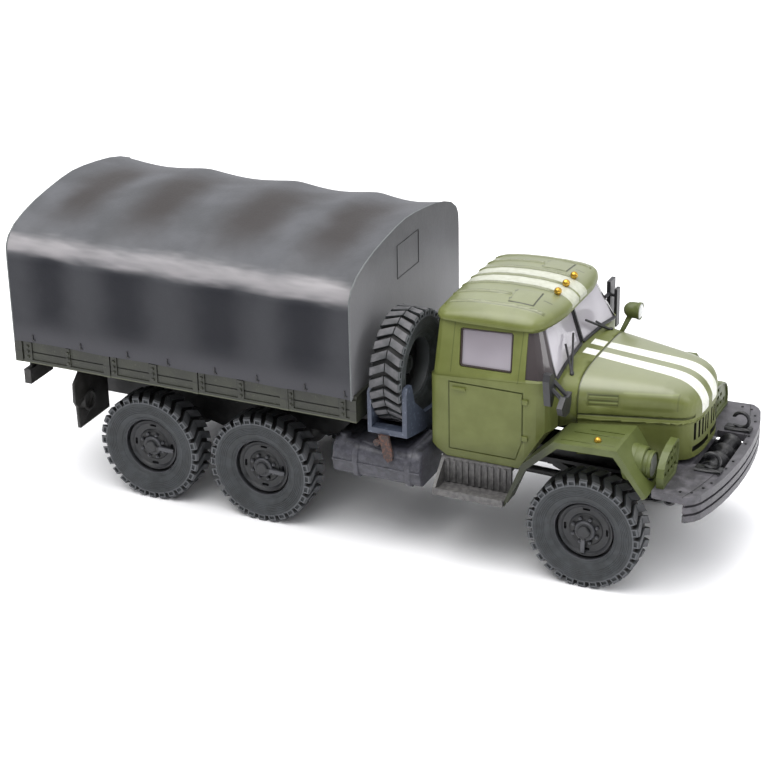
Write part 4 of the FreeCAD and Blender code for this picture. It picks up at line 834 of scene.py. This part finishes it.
flutes = (y * FLUTE_TURNS).wave()
coat(lamp_clear, linear(214, 216, 214), 0.10, flutes, 0.08, Coat_Weight=0.8)
recast("headlamp_lenses", lamp_clear, 30)
brass, place, _ = new_finish("brass_bead")
tarnish = grain(place, 0.5).soft(0.4, 0.7)
coat(brass, blended(tarnish, linear(196, 158, 62), linear(150, 118, 46)), tarnish * 0.2 + 0.26,
     Metallic=0.85)
recast("marker_lamps", brass, 60)


def face_forward(piece, along, across, high):
    """Turn a lathed piece's axis forwards and set it in its place, in mm."""
    piece.data.transform(Matrix.Translation(Vector((along, across, high)) * MM)
                         @ Matrix.Rotation(math.radians(-90), 4, "Z"))
    return piece


for side, hand in ((-1, "right"), (1, "left")):
    bowl = face_forward(turn("lamp_bowl", BOWL_OUTLINE, 56), BOWL_FRONT_X, side * LAMP_Y, LAMP_Z)
    ring = face_forward(turn("lamp_ring", RING_OUTLINE, 48), RING_X, side * LAMP_Y, LAMP_Z)
    nub = post("lamp_nub", (67.6, side * 21.6, 27.9), (68.3, side * 22.2, 27.3), 0.55, 0.42, 16, 0.1)
    settle(join([bowl, ring, nub], "lamp_bowl_" + hand), wing_olive, smooth=40)

# ---- bumper, winch and hooks -----------------------------------------
# A deep pressed bumper with a flat platform on top carries the winch behind it. A line scored
# along the platform follows its front edge, and bolt heads sit outside it.
PLATFORM_Z, EDGE_BOW, SCORED_X = 25.8, 0.0062, 81.2
BOLTS = ((78.5, 22.0), (80.1, 19.1), (76.2, 22.6), (81.0, 16.2), (81.3, 12.4), (81.8, 8.5), (82.2, 4.6))
bumper_grey, place, (x, y, z) = new_finish("bumper_plastic")
rub = grain(place, 2.6).soft(0.40, 0.68)
scored = (x + y * y * EDGE_BOW).near(SCORED_X, 0.07, 0.10) * (z > PLATFORM_Z - 0.1)
edge_rub = grain(place, 0.5, 3.0).soft(0.60, 0.72)
tone = blended(rub, linear(62, 61, 65), linear(84, 82, 87))
tone = blended(edge_rub * 0.3, tone, linear(116, 114, 118))
tone = blended(scored * 0.8, tone, linear(18, 18, 19))
coat(bumper_grey, tone, 0.42 + rub * 0.14, grain(place, 0.35, 2.0) - scored * 2.0, 0.02)
recast("bumper", bumper_grey, 20)
recast("winch", dark_trim, 35)
recast("tow_hooks", dark_trim, 40)
heads = [post("bolt_head", (along, side * across, PLATFORM_Z), (along, side * across, 26.12),
              0.34, 0.28, 6, 0.05) for along, across in BOLTS for side in (-1, 1)]
settle(join(heads, "bumper_bolts"), dark_trim, smooth=30)

# ---- mirrors, wipers, work lamp --------------------------------------
# Two plate mirrors a side on thin brackets, two-armed wipers, and a work lamp on a post at
# the left of the scuttle, its glass pale against the olive shell.
WORK_LAMP = (53.6, 16.1, 48.2)
GLASS_OUTLINE = ((0.0, -0.35), (1.62, -0.35), (1.62, 0.05), (1.2, 0.28), (0.6, 0.40), (0.0, 0.44))
mirror_grey, place, _ = new_finish("mirror_plastic")
coat(mirror_grey, blended(grain(place, 2.0), linear(28, 28, 30), linear(50, 50, 53)), 0.40,
     grain(place, 0.4), 0.02)
paint_node("mirrors", mirror_grey)
recast("wipers", dark_trim, 40)
recast("spotlight", wing_olive, 40)
lens_plate = face_forward(turn("work_lamp_glass", GLASS_OUTLINE, 40), *WORK_LAMP)
settle(lens_plate, lamp_clear, smooth=40)

# ---- inside the cab --------------------------------------------------
# Seats, dash and steering wheel are one plain dark-brown moulding seen through the panes.
brown, place, _ = new_finish("cab_brown")
coat(brown, blended(grain(place, 2.0), linear(52, 36, 28), linear(84, 60, 46)), 0.6,
     grain(place, 0.6), 0.04)
for node in ("dashboard", "seats"):
    paint_node(node, brown)
recast("steering_wheel", dark_trim, 40)

# ---- load bed --------------------------------------------------------
# A drop-side bed in dark olive: posts between panels, hinge straps with three bolts each, a
# scored line along each board, and a sill lip that catches the light.
BED_SIDE_Y, SEAM_Z, SILL_Z, BOLT_HEIGHTS = 28.4, 34.15, 31.3, (32.9, 34.2, 35.5)
STRAPS = (-80.1, -69.15, -56.9, -46.55, -33.95, -24.0, -11.45, 1.2)
bed_olive, place, (x, y, z) = new_finish("bed_olive")
cloud = grain(place, 5.0).soft(0.35, 0.68)
edge_wear = grain(place, 0.5, 3.0).soft(0.60, 0.72)
outside = abs(y) > BED_SIDE_Y
seam_line = z.near(SEAM_Z, 0.14) * outside
sill = z.near(SILL_Z, 0.35, 0.1) * outside
strap_line = any_of(abs(x - strap).near(1.05, 0.06, 0.10) for strap in STRAPS) * outside
tone = blended(cloud, linear(32, 34, 25), linear(43, 45, 34))
tone = blended(edge_wear * 0.2, tone, linear(96, 100, 76))
tone = blended(sill * 0.5, tone, linear(90, 94, 72))
tone = blended((seam_line * 0.8).most(strap_line * (z > 32.2) * 0.6), tone, linear(18, 19, 12))
coat(bed_olive, tone, 0.50, grain(place, 0.4, 2.0), 0.03)
for node in ("bed_sides", "headboard", "tailgate", "bed_floor"):
    paint_node(node, bed_olive)
bolts = [post("strap_bolt", (along, side * 28.95, high), (along, side * 29.3, high), 0.42, 0.34,
              8, 0.08) for side in (-1, 1) for along in STRAPS for high in BOLT_HEIGHTS]
settle(join(bolts, "strap_bolts"), bed_olive, smooth=30)

# ---- tilt ------------------------------------------------------------
# The tilt is a thin moulding of a canvas cover stretched over five bows. It sags between
# them. Its sides are painted darker as shade, with darker bluish patches low between the bows,
# the hollows on top are painted dark as shade, the shoulder carries a painted highlight, and the
# front face is painted lighter low down and darker high up as light and shade.
# Piping runs round both ends, and small hooks hold the lower edge.
BOWS = (-83.4, -59.6, -35.4, -14.1, 3.85)
BAY_STOPS = (  # share of the bay, and share of its full sag
    (0.06, 0.10), (0.20, 0.52), (0.35, 0.86), (0.5, 1.0), (0.65, 0.86), (0.80, 0.52), (0.94, 0.10))
SAG_TOP, SAG_TOP_SIDE, SAG_SIDE, SAG_HEM, SAG_BASE_Z = 0.030, 0.020, 0.011, 0.25, 36.0
SHOULDER_Z, SIDE_LOW_Z, HEM_Z, AT_STOP = 58.0, 40.0, 38.0, 0.1
ARCH = (  # distance from the middle, and height
    (29.5, 36.8), (29.5, 43.5), (29.5, 50.5), (29.5, 57.0), (29.3, 60.1), (28.1, 62.2),
    (25.4, 64.1), (21.4, 65.6), (16.3, 66.9), (10.6, 67.8), (5.0, 68.5), (0.0, 68.8))
PATCH_BAYS = ((-72.5, 8.5), (-53.0, 10.0), (-29.0, 11.5), (-7.5, 9.5))  # middle and half length
FRONT_X, REAR_X, FLAP_Y, FLAP_Z = 3.6, -83.2, (-5.1, 6.3), (56.2, 64.0)
TIE_Y, TIE_HALF, TIE_THICK, TIE_TOE, TIE_ROUND = 29.62, 0.14, 0.16, 0.6, 0.05
TIES = (-78.0, -65.1, -52.7, -42.2, -30.1, -19.5, -7.6, 2.1)
sag_at = {bow: 0.0 for bow in BOWS}
for here, there in zip(BOWS, BOWS[1:]):
    sag_at.update({here + (there - here) * share: sag for share, sag in BAY_STOPS})
stops = sorted(sag_at)
arch = [(-y, z) for y, z in ARCH] + [(y, z) for y, z in ARCH[-2::-1]]
cover = start_line("tilt_cover", [(stops[0], y, z) for y, z in arch])
bpy.ops.mesh.select_all(action="SELECT")
for here, there in zip(stops, stops[1:]):
    bpy.ops.mesh.extrude_region_move(TRANSFORM_OT_translate={"value": ((there - here) * MM, 0, 0)})
for stop, sag in sag_at.items():
    if sag:
        pivot = (stop * MM, 0, SAG_BASE_Z * MM)
        choose(lambda p: abs(p.x - stop) < AT_STOP and p.z > SHOULDER_Z)
        bpy.ops.transform.resize(value=(1, 1 - SAG_TOP_SIDE * sag, 1 - SAG_TOP * sag),
                                 center_override=pivot)
        choose(lambda p: abs(p.x - stop) < AT_STOP and SHOULDER_Z > p.z > SIDE_LOW_Z)
        bpy.ops.transform.resize(value=(1, 1 - SAG_SIDE * sag, 1), center_override=pivot)
        choose(lambda p: abs(p.x - stop) < AT_STOP and p.z < HEM_Z)
        bpy.ops.transform.translate(value=(0, 0, SAG_HEM * sag * MM))
for end in (BOWS[0], BOWS[-1]):
    choose(lambda p: abs(p.x - end) < 0.05)
    bpy.ops.mesh.edge_face_add()
    bpy.ops.mesh.inset(thickness=0.5 * MM)
bpy.ops.mesh.select_all(action="SELECT")
bpy.ops.mesh.normals_make_consistent(inside=False)
bpy.ops.object.mode_set(mode="OBJECT")
creases = cover.data.attributes.new("crease_edge", "FLOAT", "EDGE")
for i, edge in enumerate(cover.data.edges):
    a, b = (cover.data.vertices[j].co.x / MM for j in edge.vertices)
    at_end = any(max(abs(a - end), abs(b - end)) < 0.05 for end in (BOWS[0], BOWS[-1]))
    creases.data[i].value = 0.85 if at_end else 0.0
smoothing = cover.modifiers.new("smoothing", "SUBSURF")
smoothing.levels = smoothing.render_levels = 2
take(cover)
bpy.ops.object.modifier_apply(modifier="smoothing")

canvas, place, (x, y, z) = new_finish("tilt_canvas_grey")
drift = (grain(place, 9.0, 2.0) - 0.5) * 5.0
between_bows = any_of(1.0 - abs(x + drift - middle).soft(half * 0.1, half) for middle, half in PATCH_BAYS)
front_face = x > FRONT_X
cloth = 1.0 - front_face.most(x < REAR_X)
flank_shade = abs(y).soft(28.0, 29.0) * (1.0 - (z + drift * 0.2).soft(56.5, 60.0)) * cloth
top_hollow_shade = (1.0 - abs(y + 4.0).soft(7.0, 24.0)) * z.soft(62.0, 65.0) * cloth
creased = place.node("ShaderNodeVectorMath", {"operation": "MULTIPLY"},
                     {0: place, 1: (0.22, 1.0, 1.2)})
wrinkle = grain(creased, 3.2, 2.0)
wander = (wrinkle - 0.5) * 3.0
shoulder_highlight = (z + wander).soft(57.8, 60.2) * (1.0 - (z - wander).soft(60.8, 63.6)) * cloth
cloudy = grain(place, 12.0, 4.0).soft(0.3, 0.72)
tone = blended(cloudy, linear(68, 69, 72), linear(82, 83, 87))
# Painted shade darkens the sides; darker bluish patches lie low between the bows, and the cloth is
# lighter towards the hem.
tone = blended(flank_shade * 0.85, tone, linear(42, 43, 48))
tone = blended(between_bows * flank_shade * (z - drift * 0.5).soft(37.0, 46.0) * 0.97, tone, linear(14, 16, 25))
tone = blended((1.0 - z.soft(38.0, 43.0)) * cloth * 0.3, tone, linear(84, 83, 88))
# Painted shade in the hollows on top between the bows, and a painted highlight along the shoulder.
tone = blended(between_bows * top_hollow_shade * 0.85, tone, linear(42, 37, 35))
tone = blended(shoulder_highlight * (wrinkle * 0.6 + 0.35), tone, linear(158, 155, 157))
upright_edges = y.near(FLAP_Y[0], 0.10).most(y.near(FLAP_Y[1], 0.07)) * z.between(*FLAP_Z)
level_edges = z.near(FLAP_Z[0], 0.10).most(z.near(FLAP_Z[1], 0.06))
level_edges = level_edges * y.between(FLAP_Y[0] - 0.1, FLAP_Y[1] + 0.1)
flap = upright_edges.most(level_edges) * front_face
leaning = z + y * 0.3
# Painted light and shade on the front face: lighter low down, darker high up.
tone = blended(front_face * (1.0 - leaning.soft(50.0, 66.0)) * 0.8, tone, linear(124, 124, 126))
tone = blended(front_face * leaning.soft(58.0, 72.0) * 0.7, tone, linear(46, 46, 48))
tone = blended(flap * 0.75, tone, linear(30, 30, 31))
weave = grain(place, 0.5, 2.0)
coat(canvas, tone, 0.42 + weave * 0.12, weave * 0.15 + cloudy * 0.25 + shoulder_highlight * wrinkle, 0.16,
     Specular_IOR_Level=0.25)
settle(cover, canvas, smooth=40)
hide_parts("tilt")
flap_edge = [(BOWS[-1] + 0.02, y, z) for z, ends in zip(FLAP_Z, (FLAP_Y, FLAP_Y[::-1])) for y in ends]
settle(bead("tilt_flap_edge", flap_edge, 0.10), canvas, smooth=60)
piping, place, _ = new_finish("tilt_piping")
coat(piping, blended(grain(place, 1.0), linear(84, 88, 88), linear(108, 112, 112)), 0.5)
for name, along in (("tilt_piping_front", BOWS[-1] - 0.22), ("tilt_piping_rear", BOWS[0] + 0.22)):
    line = [(along, y * 0.9985, z - 0.1) for y, z in arch]
    settle(bead(name, line, 0.17, False), piping, smooth=60)
hooks = []
for side in (-1, 1):
    for along in TIES:
        low_y, high_y = side * TIE_Y - TIE_THICK, side * TIE_Y + TIE_THICK
        hooks.append(bar("tie_hook", (along - TIE_HALF, low_y, 37.5), (along + TIE_HALF, high_y, 38.9),
                         TIE_ROUND, 1))
        hooks.append(bar("tie_foot", (along - TIE_HALF, low_y, 37.4), (along + TIE_TOE, high_y, 37.7),
                         TIE_ROUND, 1))
settle(join(hooks, "tie_hooks"), dark_trim)

# ---- carrier, latch and rear fittings --------------------------------
# The spare stands in a blue-grey pressed cradle, held by a rusty tongue. Mud flaps carry an
# embossed ring, and short buffers with red lamps close the rear end.
blue_grey, place, _ = new_finish("carrier_blue_grey")
chip = grain(place, 0.9).soft(0.55, 0.70)
coat(blue_grey, blended(chip, linear(60, 67, 82), linear(92, 99, 114)), 0.48, grain(place, 0.4), 0.03)
paint_node("spare_carrier", blue_grey)
rust, place, _ = new_finish("rusty_tongue")
flakes = grain(place, 0.6).soft(0.45, 0.7)
coat(rust, blended(flakes, linear(56, 46, 44), linear(98, 62, 48)), 0.7, grain(place, 0.3), 0.06)
paint_node("carrier_latch", rust)
flap_grey, place, _ = new_finish("mudflap_plastic")
tone = blended(grain(place, 3.0).soft(0.4, 0.68), linear(32, 31, 29), linear(50, 49, 48))
coat(flap_grey, tone, 0.52, grain(place, 0.4, 2.0), 0.02)
for node in ("mudflaps", "rear_bumperettes"):
    recast(node, flap_grey, 30)
red, place, _ = new_finish("red_lamp")
coat(red, blended(grain(place, 0.8), linear(128, 22, 18), linear(158, 34, 26)), 0.18, Coat_Weight=0.6)
paint_node("tail_lamps", red)
